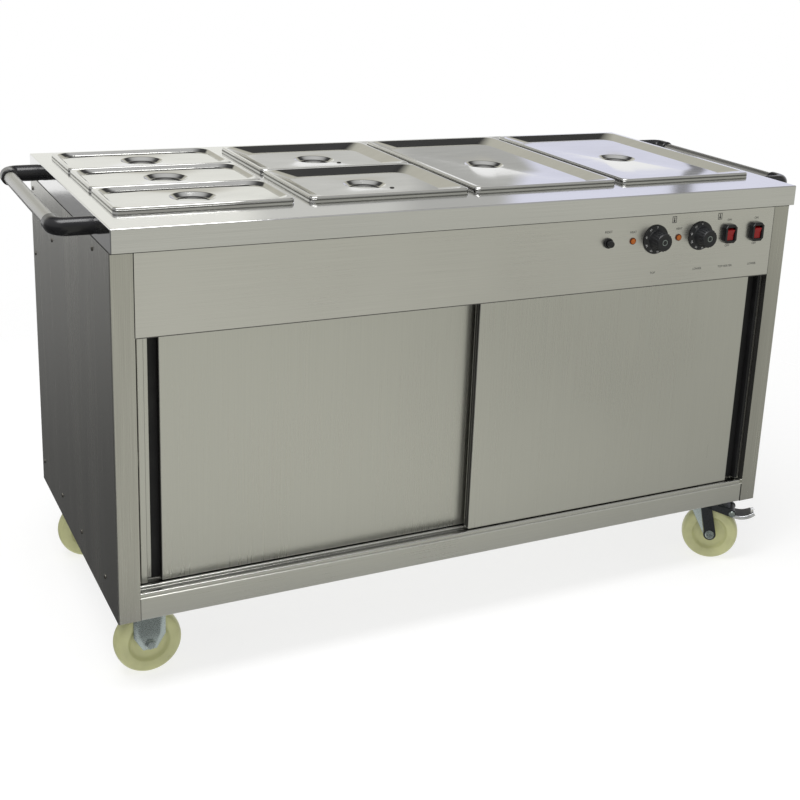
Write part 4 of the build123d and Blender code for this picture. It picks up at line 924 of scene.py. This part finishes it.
def rocker_outline(inset):
    """Side view of a rocker: a shallow V in front, ends that clear the window, a flat back."""
    upper = []
    for turn in (36, 44, 54, 66, 80, 98):
        long = (WINDOW_HALF - inset) / sin(radians(min(turn + THROW, 90.0)))
        upper.append((long * cos(radians(turn)), long * sin(radians(turn))))
    return [(ROCKER_NOSE - inset, 0.0)] + upper + [(out, -up) for out, up in reversed(upper)]


for side, x in zip(("left", "right"), switch_x):
    lean = radians(THROW)
    place = at((x, FACE_Y + PIVOT_DROP, control_z), (1, 0, 0), (0, -sin(lean), cos(lean)))
    loops = [[place(u, up, out) for out, up in rocker_outline(inset)] for u, inset in ROCKER_ROWS]
    piece(f"{side}_red_rocker", [skin(loops)], f"{side}_switch", "red_rocker_plastic",
          [f"{side}_rocker"], sharp=25)

# %% [markdown]
# Two amber lamps stand to the left of the switches. A lens with few sides keeps the facets of a
# moulded one, and its rim is rounder. Both could be beveled cylinders, but a turned outline
# sets the dome and the rim exactly.

# %% Lamps
LAMP_RADIUS = 7.0
LAMP = ((5.7, 0.6), (5.7, 2.6), (5.2, 3.6), (4.2, 4.4), (2.6, 4.9), (0.0, 5.0))
LAMP_RIM = ((5.8, -22.0), (5.8, 0.0), (LAMP_RADIUS, 0.0), (LAMP_RADIUS, 1.6), (6.7, 2.2), (6.2, 2.3),
            (5.8, 1.8), (5.8, 0.6))
lamp_low, lamp_high = (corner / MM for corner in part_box("indicator_lamps"))
lamp_x = (lamp_low.x + LAMP_RADIUS, lamp_high.x - LAMP_RADIUS)
lamp_places = [at((x, FACE_Y, control_z), (1, 0, 0), (0, 0, 1)) for x in lamp_x]
piece("amber_lamps", [lathe(LAMP, place, 10) for place in lamp_places], "cabinet", "amber_lens",
      ["indicator_lamps"], sharp=12)
piece("lamp_rims", [lathe(LAMP_RIM, place, 32) for place in lamp_places], "cabinet", "amber_rim")

# %% [markdown]
# The reset button is a plunger that slides in a black ring. They are two pieces, because the
# plunger moves and the ring doesn't.

# %% Reset button
button_x = middle_x("reset_button")
place = at((button_x, FACE_Y, control_z), (1, 0, 0), (0, 0, 1))
RING = ((9.0, -26.0), (9.0, 0.0), (10.5, 0.0), (10.5, 3.6), (10.1, 4.6), (9.2, 5.0), (7.6, 5.0),
        (7.1, 4.5), (7.1, -9.0))
BUTTON = ((6.7, -5.0), (6.7, 13.0), (6.3, 14.2), (5.4, 14.8), (3.0, 15.0), (0.0, 15.0))
piece("reset_ring", [lathe(RING, place, 40)], "cabinet", "black_gloss_plastic", ["cutout_body"])
piece("reset_plunger", [lathe(BUTTON, place, 40)], "reset", "black_gloss_plastic", ["reset_button"])

# %% [markdown]
# Small words name each control, and a framed thermometer beside each knob stands for heat. The
# words are listed with their size and place, so a new one is one more line. All of the print is
# one piece, because it has one colour and never moves.

# %% Words on the fascia
PRINT_LIFT, PRINT_LOW, PRINT_HIGH = 0.08, 0.03, 0.13
fascia = at((0, FACE_Y, 0), (1, 0, 0), (0, 0, 1))
knob_x = [middle_x(f"{side}_thermostat_knob") for side in ("left", "right")]
words = [("RESET", 6.6, button_x, control_z + 22.0)]
words += [("HEAT", 6.4, x, control_z + 18.0) for x in lamp_x]
words += [("ON", 6.8, x, control_z + 28.5) for x in switch_x]
words += [("OFF", 6.8, x, control_z - 26.0) for x in switch_x]
words += [(word, 6.4, x, control_z - 70.0) for word, x in zip(("TOP", "LOWER"), knob_x)]
words += [(word, 6.4, x, control_z - 70.0) for word, x in zip(("TOP HEATER", "LOWER"), switch_x)]
prints = [letters(word, size, fascia, PRINT_LIFT, 0.0, (x, z)) for word, size, x, z in words]
print(len(prints), "words")


# %% Signs on the fascia
def printed(outline, x, z):
    """A flat closed outline of the print, a tenth of a millimetre thick."""
    return skin([[fascia(x + u, z + v, lift) for u, v in outline] for lift in (PRINT_LOW, PRINT_HIGH)])


def oblong(u, v, width, height):
    """The corners of a rectangle round a point."""
    w, h = width / 2, height / 2
    return (u - w, v - h), (u + w, v - h), (u + w, v + h), (u - w, v + h)


SIGN_BARS = ((-4.6, 0, 1.2, 13.4), (4.6, 0, 1.2, 13.4), (0, 6.2, 9.9, 1.2), (0, -6.2, 9.9, 1.2),
             (0, 1.2, 2.2, 6.8))
SIGN_ASIDE, SIGN_RISE = (43.0, 46.5), 37.5
BULB_RADIUS, BULB_DROP, BULB_POINTS = 2.2, 2.8, 16
bulb_turns = [tau * k / BULB_POINTS for k in range(BULB_POINTS)]
bulb = [(BULB_RADIUS * cos(turn), BULB_RADIUS * sin(turn) - BULB_DROP) for turn in bulb_turns]
for x, aside in zip(knob_x, SIGN_ASIDE):
    for outline in [oblong(*sizes) for sizes in SIGN_BARS] + [bulb]:
        prints.append(printed(outline, x + aside, control_z + SIGN_RISE))
piece("fascia_print", prints, "cabinet", "black_print")

# %% [markdown]
# ## Doors, tracks and joints
# The fingers pull a door by a deep channel near its outer end. The shade in that channel is
# painted with a thin near-black strip, and on the right door the strip also covers a little of
# the face beside the lip. The doors keep their CAD meshes, so the strip is a folded piece of its
# own, drawn as one section and stretched over the height of the door. Paint on the CAD faces
# would colour the whole sheet.

# %% Painted shade in the pull channels
PULL_LIP, PULL_WIDTH, PULL_DEPTH = 12.0, 26.0, 14.0
BARE_FLOOR, LIP_COVER = 10.0, 6.5
CLEAR, SHADE_STRIP, SET_BACK, COVER_RISE, SHADE_STRIP_END = 0.05, 0.6, 0.8, 0.3, 1.0
for side, sign in (("left", -1), ("right", 1)):
    low, high = (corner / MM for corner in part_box(f"{side}_door_skin"))
    face, outer = low.y, (low.x if sign < 0 else high.x)
    lip, wall = outer - sign * PULL_LIP, outer - sign * (PULL_LIP + PULL_WIDTH)
    inward = -sign
    lip_out, lip_in = lip + inward * CLEAR, lip + inward * SHADE_STRIP
    wall_out, wall_in = wall - inward * CLEAR, wall - inward * SHADE_STRIP
    front, deep, shallow = face + SET_BACK, face + PULL_DEPTH - CLEAR, face + PULL_DEPTH - SHADE_STRIP
    section = [(lip_out, front), (lip_out, deep), (wall_out, deep), (wall_out, front),
               (wall_in, front), (wall_in, shallow), (lip_in, shallow), (lip_in, front)]
    # Painted shade: the left strip leaves the outer floor bare, and the right one also covers the face beside
    # the lip.
    if side == "left":
        section = [(lip + BARE_FLOOR, deep), *section[2:6], (lip + BARE_FLOOR, shallow)]
    else:
        section[0] = (lip + LIP_COVER, face - CLEAR)
        section.insert(1, (lip_out, face - CLEAR))
        section += [(lip_in, face - COVER_RISE), (lip + LIP_COVER, face - COVER_RISE)]
    ends = (low.z + SHADE_STRIP_END, high.z - SHADE_STRIP_END)
    piece(f"{side}_pull_liner", [skin([[(x, y, z) for x, y in section] for z in ends])],
          f"{side}_door", "channel_shade_black")

# %% [markdown]
# Where the doors pass, the folded edge of the right door lies in shade, with a paler line where
# its two sheets meet. Three thin bars show that. A shader could darken the edge, but bars stay
# on the door when it slides.


# %% Dark edge of the right door
def bar(low, high):
    """A box between two corners."""
    return skin([[(low[0], low[1], z), (high[0], low[1], z), (high[0], high[1], z), (low[0], high[1], z)]
                 for z in (low[2], high[2])])


def edge_bar(rise, start, end):
    """A bar up the edge of the right door, from one depth behind its face to another."""
    low, high = (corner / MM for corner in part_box("right_door_skin"))
    return bar((low.x - rise, low.y + start, low.z + 0.5), (low.x + 0.05, low.y + end, high.z - 0.5))


piece("right_door_edge", [edge_bar(0.15, 1.8, 8.0), edge_bar(0.15, 10.0, 16.5)], "right_door", "joint_shadow")
piece("right_door_edge_line", [edge_bar(0.12, 8.0, 10.0)], "right_door", "painted_shade_band")

# %% [markdown]
# The doors run between three low ribs pressed into one sheet. An array of bars would do for
# straight ribs, but one outline with rounded tops and small fillets at the feet, stretched along
# X, catches the light as pressed steel does.

# %% Outline of the bottom track
RIB, SHEET, BEND_RADIUS = 8.0, 1.5, 2.4
FILLET, FILLET_RUN = 0.4, 1.5
track_low, track_high = (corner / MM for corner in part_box("bottom_door_track"))
floor_z, bend_z = track_low.z + SHEET, track_high.z - BEND_RADIUS
pitch = (track_high.y - track_low.y - RIB) / 2
profile = [(track_high.y, track_low.z), (track_low.y, track_low.z)]
for number in range(3):
    start = track_low.y + number * pitch
    end = start + RIB
    if number:
        profile += [(start - FILLET_RUN, floor_z), (start - FILLET, floor_z + FILLET)]
    for bend_y, turns in ((start + BEND_RADIUS, (180, 150, 120, 90)), (end - BEND_RADIUS, (90, 60, 30, 0))):
        for turn in map(radians, turns):
            profile.append((bend_y + BEND_RADIUS * cos(turn), bend_z + BEND_RADIUS * sin(turn)))
    if number < 2:
        profile += [(end + FILLET, floor_z + FILLET), (end + FILLET_RUN, floor_z)]
print("track outline of", len(profile), "points, ribs every", round(pitch, 1), "mm")

# %% Bottom track and the painted shade in its grooves
GROOVE_EDGE = 1.6
track_ends = (track_low.x, track_high.x)
piece("ribbed_track", [skin([[(x, y, z) for y, z in profile] for x in track_ends])], "cabinet",
      "track_stainless", ["bottom_door_track"])
# Dark bars in the two grooves between the ribs paint their shade.
grooves = []
for k in range(2):
    start, end = track_low.y + RIB + pitch * k, track_low.y + pitch * (k + 1)
    grooves.append(bar((track_low.x, start + GROOVE_EDGE, floor_z - 0.1),
                       (track_high.x, end - GROOVE_EDGE, floor_z + 0.15)))
piece("track_grooves", grooves, "cabinet", "painted_shade_band")

# %% [markdown]
# Where two sheets meet there is a thin dark joint, which tells the eye that the cabinet is folded
# from many pieces. Its darkness is shade, in the joints and under the overhanging skirt and
# fascia. Real gaps in the CAD solids would be exact but hard to see, so narrow bars stand just
# proud of the sheet and carry painted shade. The deeper joints are nearly black and the tight
# seams are grey.

# %% Painted shade at the joints between the sheets
SKIRT_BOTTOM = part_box("worktop")[0].z / MM
FASCIA_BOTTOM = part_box("front_fascia")[0].z / MM
BODY_BOTTOM, RAIL_TOP, POST_X = 150.0, 193.0, 675.0
PROUD, SUNK = 0.12, 0.1
REAR_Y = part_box("rear_panel")[1].y / MM


def front_bar(left, right, bottom, top):
    """A thin bar on the front of the cabinet."""
    return bar((left, FACE_Y - PROUD, bottom), (right, FACE_Y + SUNK, top))


# Near-black painted shade: post joints at the base rail, inside of the right post, left post at the fascia,
# under the skirt at both ends.
joints = [
    front_bar(POST_X - 2.6, POST_X + 0.4, BODY_BOTTOM + 0.2, RAIL_TOP - 1.0),
    front_bar(-POST_X - 0.5, -POST_X + 0.5, BODY_BOTTOM + 0.2, RAIL_TOP - 1.0),
    bar((POST_X - 0.25, FACE_Y + 1.5, RAIL_TOP + 9.0), (POST_X - 0.02, FACE_Y + 56.0, FASCIA_BOTTOM - 0.5)),
    front_bar(-POST_X - 0.8, -POST_X + 0.8, FASCIA_BOTTOM + 2.0, SKIRT_BOTTOM - 3.0),
]
for x in (-END_X, END_X):
    joints.append(bar((x - SUNK, FACE_Y + 2.0, SKIRT_BOTTOM - 2.6),
                      (x + SUNK, REAR_Y - 0.5, SKIRT_BOTTOM - 0.1)))
piece("sheet_joints", joints, "cabinet", "joint_shadow")
# Grey painted shade under the skirt, along the bottom of the fascia and beside the right post.
seams = [front_bar(1.0 - END_X, END_X - 1.0, SKIRT_BOTTOM - 5.0, SKIRT_BOTTOM - 0.1),
         front_bar(-POST_X, POST_X, FASCIA_BOTTOM + 0.4, FASCIA_BOTTOM + 2.0),
         front_bar(POST_X - 0.5, POST_X + 0.5, FASCIA_BOTTOM + 2.0, SKIRT_BOTTOM - 3.0)]
piece("sheet_seams", seams, "cabinet", "seam_shade")

# %% [markdown]
# ## Screws and bolts
# Screws hold the end panels and bolts hold the casters. Each kind is one small shape that a
# Geometry Nodes tree copies to a list of points, so the heads are all alike. The points come
# from the solids of the CAD node, which are told apart by walking over their edges.


# %% Where the fasteners are
def solids_of(node):
    """The lowest and highest corner of each separate solid of a CAD node, in millimetres."""
    edit = bmesh.new()
    edit.from_mesh(nodes[node].data)
    bmesh.ops.remove_doubles(edit, verts=edit.verts, dist=1e-6)
    unseen, boxes = set(edit.verts), []
    while unseen:
        group, ahead = [], [unseen.pop()]
        while ahead:
            vert = ahead.pop()
            group.append(vert.co / MM)
            near = {edge.other_vert(vert) for edge in vert.link_edges} & unseen
            unseen -= near
            ahead += near
        boxes.append((Vector(map(min, zip(*group))), Vector(map(max, zip(*group)))))
    edit.free()
    return boxes


screws, bolts = solids_of("panel_screws"), solids_of("caster_bolts")
print(len(screws), "panel screws and", len(bolts), "caster bolts")

# %% [markdown]
# The fastener tree takes points, sets one copy of a head on each and turns them all the same way.
# Linked objects would look the same, but one tree leaves one mesh for each kind.

# %% A tree that sets fasteners at points
fastener_tree, given = geometry_tree("fasteners_at_points", [
    ("Fastener", "NodeSocketObject"), ("Turn", "NodeSocketVector"), ("Finish", "NodeSocketMaterial")])
fastener = add(fastener_tree, "GeometryNodeObjectInfo", {"Object": given["Fastener"]})
copies = add(fastener_tree, "GeometryNodeInstanceOnPoints", {
    "Points": given["Geometry"], "Instance": fastener.outputs["Geometry"], "Rotation": given["Turn"]})
end_tree(fastener_tree, copies.outputs[0], given["Finish"])


def fasten(name, shapes, points, turn, body, slot, stands_for=()):
    """Copies a fastener, drawn along Z, to points in millimetres."""
    shape = pattern_of("fastener", shapes)
    made = grow(name, fastener_tree, {"Fastener": shape, "Turn": turn, "Finish": finishes[slot]},
                [Vector(point) * MM for point in points])
    bpy.data.objects.remove(shape)
    finish_piece(made, body, slot, stands_for)

# %% [markdown]
# A panel screw has a low domed head with a cross. The cross is two dark bars in the head that
# paint the shade of a cut recess, which is simpler than cutting it out and looks the same from a
# step away.

# %% Panel screws
SCREW = ((1.9, -8.0), (1.9, 0.0), (4.5, 0.0), (4.45, 0.6), (4.1, 1.2), (3.3, 1.7), (2.2, 1.95), (0.0, 2.0))
CROSS = [bar((-2.3, -0.4, 1.5), (2.3, 0.4, 2.0)), bar((-0.4, -2.3, 1.5), (0.4, 2.3, 2.0))]
for side, sign in (("left", -1), ("right", 1)):
    points = [(sign * END_X, (low.y + high.y) / 2, (low.z + high.z) / 2)
              for low, high in screws if low.x * sign > 0]
    turn = (0.0, sign * pi / 2, 0.0)
    stands_for = ["panel_screws"] if side == "left" else []
    fasten(f"{side}_panel_screws", [lathe(SCREW, UPRIGHT, 24)], points, turn, "cabinet",
           "screw_steel", stands_for)
    fasten(f"{side}_screw_crosses", CROSS, points, turn, "cabinet", "joint_shadow")

# %% [markdown]
# A caster bolt is a hexagon head below, a shank and a nut above. A lathe with six steps turns a
# round outline into a hexagon, so head and nut need no other tool.

# %% Caster bolts
HEAD_HEIGHT = 5.0
HEX_HEAD = ((7.0, 0.0), (7.0, -3.8), (6.2, -HEAD_HEIGHT), (0.0, -HEAD_HEIGHT))
SHANK = ((4.0, 0.0), (4.0, 15.4), (3.4, 16.0), (0.0, 16.0))
NUT = ((4.0, 5.5), (6.4, 5.5), (7.0, 6.2), (7.0, 9.8), (6.4, 10.5), (4.0, 10.5), (4.0, 5.5))
bolt = [lathe(HEX_HEAD, UPRIGHT, 6), lathe(SHANK, UPRIGHT, 16), lathe(NUT, UPRIGHT, 6)]
bolt_points = [((low.x + high.x) / 2, (low.y + high.y) / 2, low.z + HEAD_HEIGHT)
               for low, high in bolts]
fasten("caster_hex_bolts", bolt, bolt_points, (0.0, 0.0, 0.0), "cabinet", "zinc_plated_steel",
       ["caster_bolts"])

# %% [markdown]
# ## Casters
# Four pale nylon wheels carry the trolley. The two at the left end are fixed in pressed forks with
# folded edges. The two at the right end swivel and have a brake pedal. A wheel is turned on a
# lathe: one half of its outline has a hub, a stepped face and a rounded tread, and the other half
# is its mirror image.

# %% Wheels
WHEEL_FACE = ((5.2, 20.0), (13.0, 20.0), (14.4, 19.5), (15.0, 18.4), (15.6, 13.0), (17.0, 11.2),
              (19.5, 9.6), (24.0, 9.0), (31.0, 9.0), (33.6, 9.4), (35.6, 10.8), (38.2, 14.6),
              (39.4, 15.8), (41.0, 16.5), (50.0, 18.0), (54.5, 18.0), (57.0, 17.2), (59.0, 15.4),
              (60.6, 12.6), (61.8, 8.5), (62.35, 4.2), (62.5, 0.0))
mirrored = tuple((radius, -along) for radius, along in reversed(WHEEL_FACE[:-1]))
WHEEL = WHEEL_FACE + mirrored + WHEEL_FACE[:1]
YAW = {"right_front": -38.0, "right_rear": -15.0}
casters = {}
for corner in ("left_front", "left_rear", "right_front", "right_rear"):
    low, high = (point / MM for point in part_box(f"{corner}_wheel"))
    yaw = radians(YAW.get(corner, 0.0))
    casters[corner] = ((low + high) / 2, Vector((cos(yaw), sin(yaw), 0)), yaw)
    hub = at(casters[corner][0], casters[corner][1], (0, 0, 1))
    piece(f"{corner}_nylon_wheel", [lathe(WHEEL, hub, 80)], f"{corner}_caster_wheel", "nylon_wheel",
          [f"{corner}_wheel"], sharp=30)

# %% [markdown]
# Each wheel turns on a bolt with a washer and a hexagon at both ends. The fastener tree sets the
# two fixed ones with one list of points. The swivel casters stand at an angle and move, so each
# of them gets its own.

# %% Axles with hexagon heads
WASHER = ((10.0, 24.0), (10.0, 25.2), (9.4, 25.6), (0.0, 25.6))
AXLE_HEAD = ((8.4, 25.4), (8.4, 28.8), (7.4, 30.0), (0.0, 30.0))
AXLE_SHAPES = [lathe(((5.0, -24.0), (5.0, 24.0)), UPRIGHT, 24)]
for way in (-1, 1):
    for outline, steps in ((WASHER, 32), (AXLE_HEAD, 6)):
        AXLE_SHAPES.append(lathe([(radius, along * way) for radius, along in outline], UPRIGHT, steps))
for name, corners, body in (("fixed_axles", ("left_front", "left_rear"), "cabinet"),
                            ("right_front_axle", ("right_front",), "right_front_swivel"),
                            ("right_rear_axle", ("right_rear",), "right_rear_swivel")):
    hubs = [casters[corner][0] for corner in corners]
    fasten(name, AXLE_SHAPES, hubs, (pi / 2, 0.0, casters[corners[0]][2]), body, "zinc_plated_steel")

# %% [markdown]
# A fixed fork is pressed from one sheet: a flat plate under the cabinet and two legs that taper
# to the axle, with folded edges. Solidify on a flat outline would leave the edges sharp. A stack
# of outlines that lean in as they come outward gives the fold.

# %% Fixed forks
LEG_TOP = 147.0


def leg_outline(inset):
    """A fork leg: straight sides, then a sharp taper to a narrow toe."""
    side, toe = 30.0 - inset, 13.0 - 0.35 * inset
    shoulder, bottom = 78.5 + 0.25 * inset, 50.5 + 0.2 * inset
    return ((-side, LEG_TOP), (-side, shoulder), (-toe, bottom),
            (toe, bottom), (side, shoulder), (side, LEG_TOP))


PLATE_LONG, PLATE_WIDE, PLATE_CORNER = 100.0, 85.0, 6.0
PLATE_ROWS = ((1.0, LEG_TOP), (0.0, 147.5), (0.0, 149.5), (1.0, 150.0))
LEG_ROWS = ((13.0, 21.0), (1.0, 18.9), (0.0, 19.1), (0.3, 19.9), (5.0, 22.0), (11.0, 23.7), (13.5, 24.0))
forks = []
for corner in ("left_front", "left_rear"):
    centre = casters[corner][0]
    place = at((centre.x, centre.y, 0), (1, 0, 0), (0, 0, 1))
    forks.append(skin([rounded_loop(centre, PLATE_LONG - inset, PLATE_WIDE - inset, PLATE_CORNER, z)
                       for inset, z in PLATE_ROWS]))
    for way in (-1, 1):
        forks.append(skin([[place(u, v, depth * way) for u, v in leg_outline(inset)]
                           for inset, depth in LEG_ROWS]))
piece("fixed_pressed_forks", forks, "cabinet", "zinc_plated_steel", ["fixed_caster_forks"], sharp=18)

# %% [markdown]
# A swivel fork hangs behind its kingpin: a round crown, two straight legs, two ears for the pedal
# and a web between them. All are flat strips, so each outline is drawn once in the plane of the
# wheel and set on both sides. These take a darker zinc, painted for the shade and dark reflections
# they sit in, and a flange in plain zinc closes the front of each leg.

# %% Outlines of a swivel fork
TRAIL, CROWN_TOP, WHEEL_RADIUS, EYE_RADIUS = 30.0, 140.5, 62.5, 14.0
PEDAL_U, PEDAL_Z = 74.0, 119.5
EAR_ENDS = (((19.0, 133.5), 7.0, pi / 2), ((PEDAL_U, PEDAL_Z), 9.0, -pi / 2))


def swivel_leg(inset):
    """The flat of a swivel leg: a straight strip that ends in a round eye."""
    radius = EYE_RADIUS - inset
    turns = [radians(turn) for turn in range(12, -205, -12)]
    eye = [(TRAIL + radius * cos(turn), WHEEL_RADIUS + radius * sin(turn)) for turn in turns]
    return [(2.0 + inset, CROWN_TOP), (26.0 - inset, CROWN_TOP)] + eye


def ear(inset):
    """The ear that carries the pedal: a strip between two round ends."""
    lean = atan2(-14.0, 55.0)
    points = []
    for (u, v), radius, start in EAR_ENDS:
        for turn in [lean + start + pi * k / 10 for k in range(11)]:
            points.append((u + (radius - inset) * cos(turn), v + (radius - inset) * sin(turn)))
    return points


print("leg of", len(swivel_leg(0.0)), "points, ear of", len(ear(0.0)))

# %% Swivel forks
CROWN = ((6.2, 136.5), (30.4, 136.5), (31.6, 137.0), (32.0, 138.0), (32.0, 139.6), (31.2, CROWN_TOP),
         (6.2, CROWN_TOP), (6.2, 136.5))
WEB = ((10.0, 140.4), (58.0, 135.0), (70.0, 131.5), (70.0, 129.0), (57.0, 132.0), (10.0, 137.0))
WEB_HALF = 21.5
FLANGE = ((2.0, CROWN_TOP, 23.4), (16.2, 64.0, 23.4), (15.6, 62.0, 19.8), (-26.0, CROWN_TOP, 19.8))
STRIP_ROWS = ((0.8, 21.1), (0.0, 21.6), (0.0, 23.3), (0.8, 24.0))
kingpins = {}
for corner in ("right_front", "right_rear"):
    centre, forward, yaw = casters[corner]
    king = centre - forward * TRAIL
    kingpins[corner] = at((king.x, king.y, 0), forward, (0, 0, 1))
    place = kingpins[corner]
    dark = [lathe(CROWN, at((king.x, king.y, 0), (1, 0, 0), (0, 1, 0)), 48)]
    dark.append(skin([[place(u, v, across) for u, v in WEB] for across in (-WEB_HALF, WEB_HALF)]))
    pale = []
    for way in (-1, 1):
        for shape in (swivel_leg, ear):
            dark.append(skin([[place(u, v, depth * way) for u, v in shape(inset)]
                              for inset, depth in STRIP_ROWS]))
        pale.append(skin([[place(u, v, (depth - back) * way) for u, v, depth in FLANGE]
                          for back in (0.0, 0.9)]))
    body = f"{corner}_swivel"
    # Painted shade: crown, web, legs and ears take a darker zinc than the flanges.
    piece(f"{corner}_fork_legs", dark, body, "painted_shade_zinc", [f"{corner}_fork"])
    piece(f"{corner}_fork_flanges", pale, body, "zinc_plated_steel")

# %% [markdown]
# A brake pedal is a chrome strip with turned-down sides and a black pad on top. It could be a bent
# plane with Solidify. Here one section follows a curve through three points, so the same function
# makes the strip and the pad, and both narrow at the tip.

# %% A strip along the curve of the pedal
PEDAL_CURVE = ((74.0, 99.0, 123.0), (114.0, 112.0, 123.5))
STEPS, TIP_START, SIDE, ROUNDING = 18, 14, 1.8, 0.8
print("pedal", PEDAL_CURVE[0][-1] - PEDAL_CURVE[0][0], "mm long in", STEPS, "steps")


def pedal_strip(place, first, last, floor, roof, half, tip, drop):
    """A strip with turned-down sides that follows the curve of the pedal and narrows at the tip."""
    loops = []
    for step in range(STEPS + 1):
        t = first + (last - first) * step / STEPS
        point = [a * (1 - t) * (1 - 2 * t) + b * 4 * t * (1 - t) + c * t * (2 * t - 1)
                 for a, b, c in PEDAL_CURVE]
        slope = [a * (4 * t - 3) + b * (4 - 8 * t) + c * (4 * t - 1) for a, b, c in PEDAL_CURVE]
        long = (slope[0] ** 2 + slope[1] ** 2) ** 0.5
        normal = (-slope[1] / long, slope[0] / long)
        wide = half - tip * max(0.0, (step - TIP_START) / (STEPS - TIP_START)) ** 2
        inner, top, foot = wide - SIDE, roof - ROUNDING, floor - drop
        right = [(inner, floor), (inner, foot), (wide, foot), (wide, top), (wide - ROUNDING, roof)]
        section = [(-across, up) for across, up in reversed(right)] + right
        loops.append([place(point[0] + normal[0] * up, point[1] + normal[1] * up, across)
                      for across, up in section])
    return skin(loops)

# %% Brake pedals
PAD_ROLL = ((6.2, -19.5), (7.0, -18.6), (7.0, 18.6), (6.2, 19.5))
PIN_END = ((7.0, 24.6), (7.0, 26.8), (6.0, 28.0), (3.0, 28.5), (0.0, 28.5))
for corner in ("right_front", "right_rear"):
    place = kingpins[corner]
    pivot = at(place(PEDAL_U, PEDAL_Z, 0), casters[corner][1], (0, 0, 1))
    body = f"{corner}_pedal"
    chrome = pedal_strip(place, 0.05, 1.0, 0.0, 3.0, 19.5, 3.0, 5.0)
    piece(f"{corner}_pedal_chrome", [chrome], body, "chrome_pedal", [f"{corner}_brake_pedal"], sharp=50)
    pad = pedal_strip(place, 0.1, 0.88, 2.8, 4.4, 18.0, 2.0, 0.4)
    piece(f"{corner}_pedal_pad", [pad, lathe(PAD_ROLL, pivot, 32)], body, "black_knob_plastic")
    pins = [lathe(((4.0, -24.6), (4.0, 24.6)), pivot, 24)]
    for way in (-1, 1):
        pins.append(lathe([(radius, along * way) for radius, along in PIN_END], pivot, 32))
    piece(f"{corner}_pedal_pin", pins, body, "zinc_plated_steel")

# %% [markdown]
# ## Cable gland
# The cable enters low on the right end through a plastic gland: a hexagon nut against the sheet
# and a tapered dome with grip ribs. It is turned like the knobs.

# %% Gland
gland_low, gland_high = (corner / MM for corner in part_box("cable_gland"))
centre = (gland_low + gland_high) / 2
place = at((END_X, centre.y, centre.z), (0, 1, 0), (0, 0, 1))
NUT_SIDE = ((8.0, 0.0), (11.2, 0.0), (12.0, 0.7), (12.0, 4.3), (11.2, 5.0), (7.0, 5.0))
DOME = ((8.0, -6.4), (8.0, 5.0), (7.9, 6.0), (7.0, 15.0), (6.4, 17.6), (5.4, 18.8), (4.4, 19.0),
        (4.0, 18.6), (4.0, -6.4), (8.0, -6.4))
DOME_RIB = ((0.0, 5.2), (0.8, 5.4), (0.7, 14.0), (0.0, 15.0))
DOME_RIBS, RIB_REACH = 12, 7.3
gland = [lathe(NUT_SIDE, place, 6), lathe(DOME, place, 40)]
for turn in [tau * k / DOME_RIBS for k in range(DOME_RIBS)]:
    rib_place = at(place(RIB_REACH * cos(turn), RIB_REACH * sin(turn), 0), (0, 1, 0), (0, 0, 1))
    gland.append(lathe(DOME_RIB, rib_place, 8))
piece("turned_gland", gland, "cabinet", "black_gloss_plastic", ["cable_gland"])

# %% [markdown]
# ## The end
# The box of the CAD solids and the box of the dressed part stand side by side in the last line,
# so a piece that sticks out is easy to see.

# %% Sizes and the end
{"cad": cad_bounds, "visual": [list(corner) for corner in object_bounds()]}
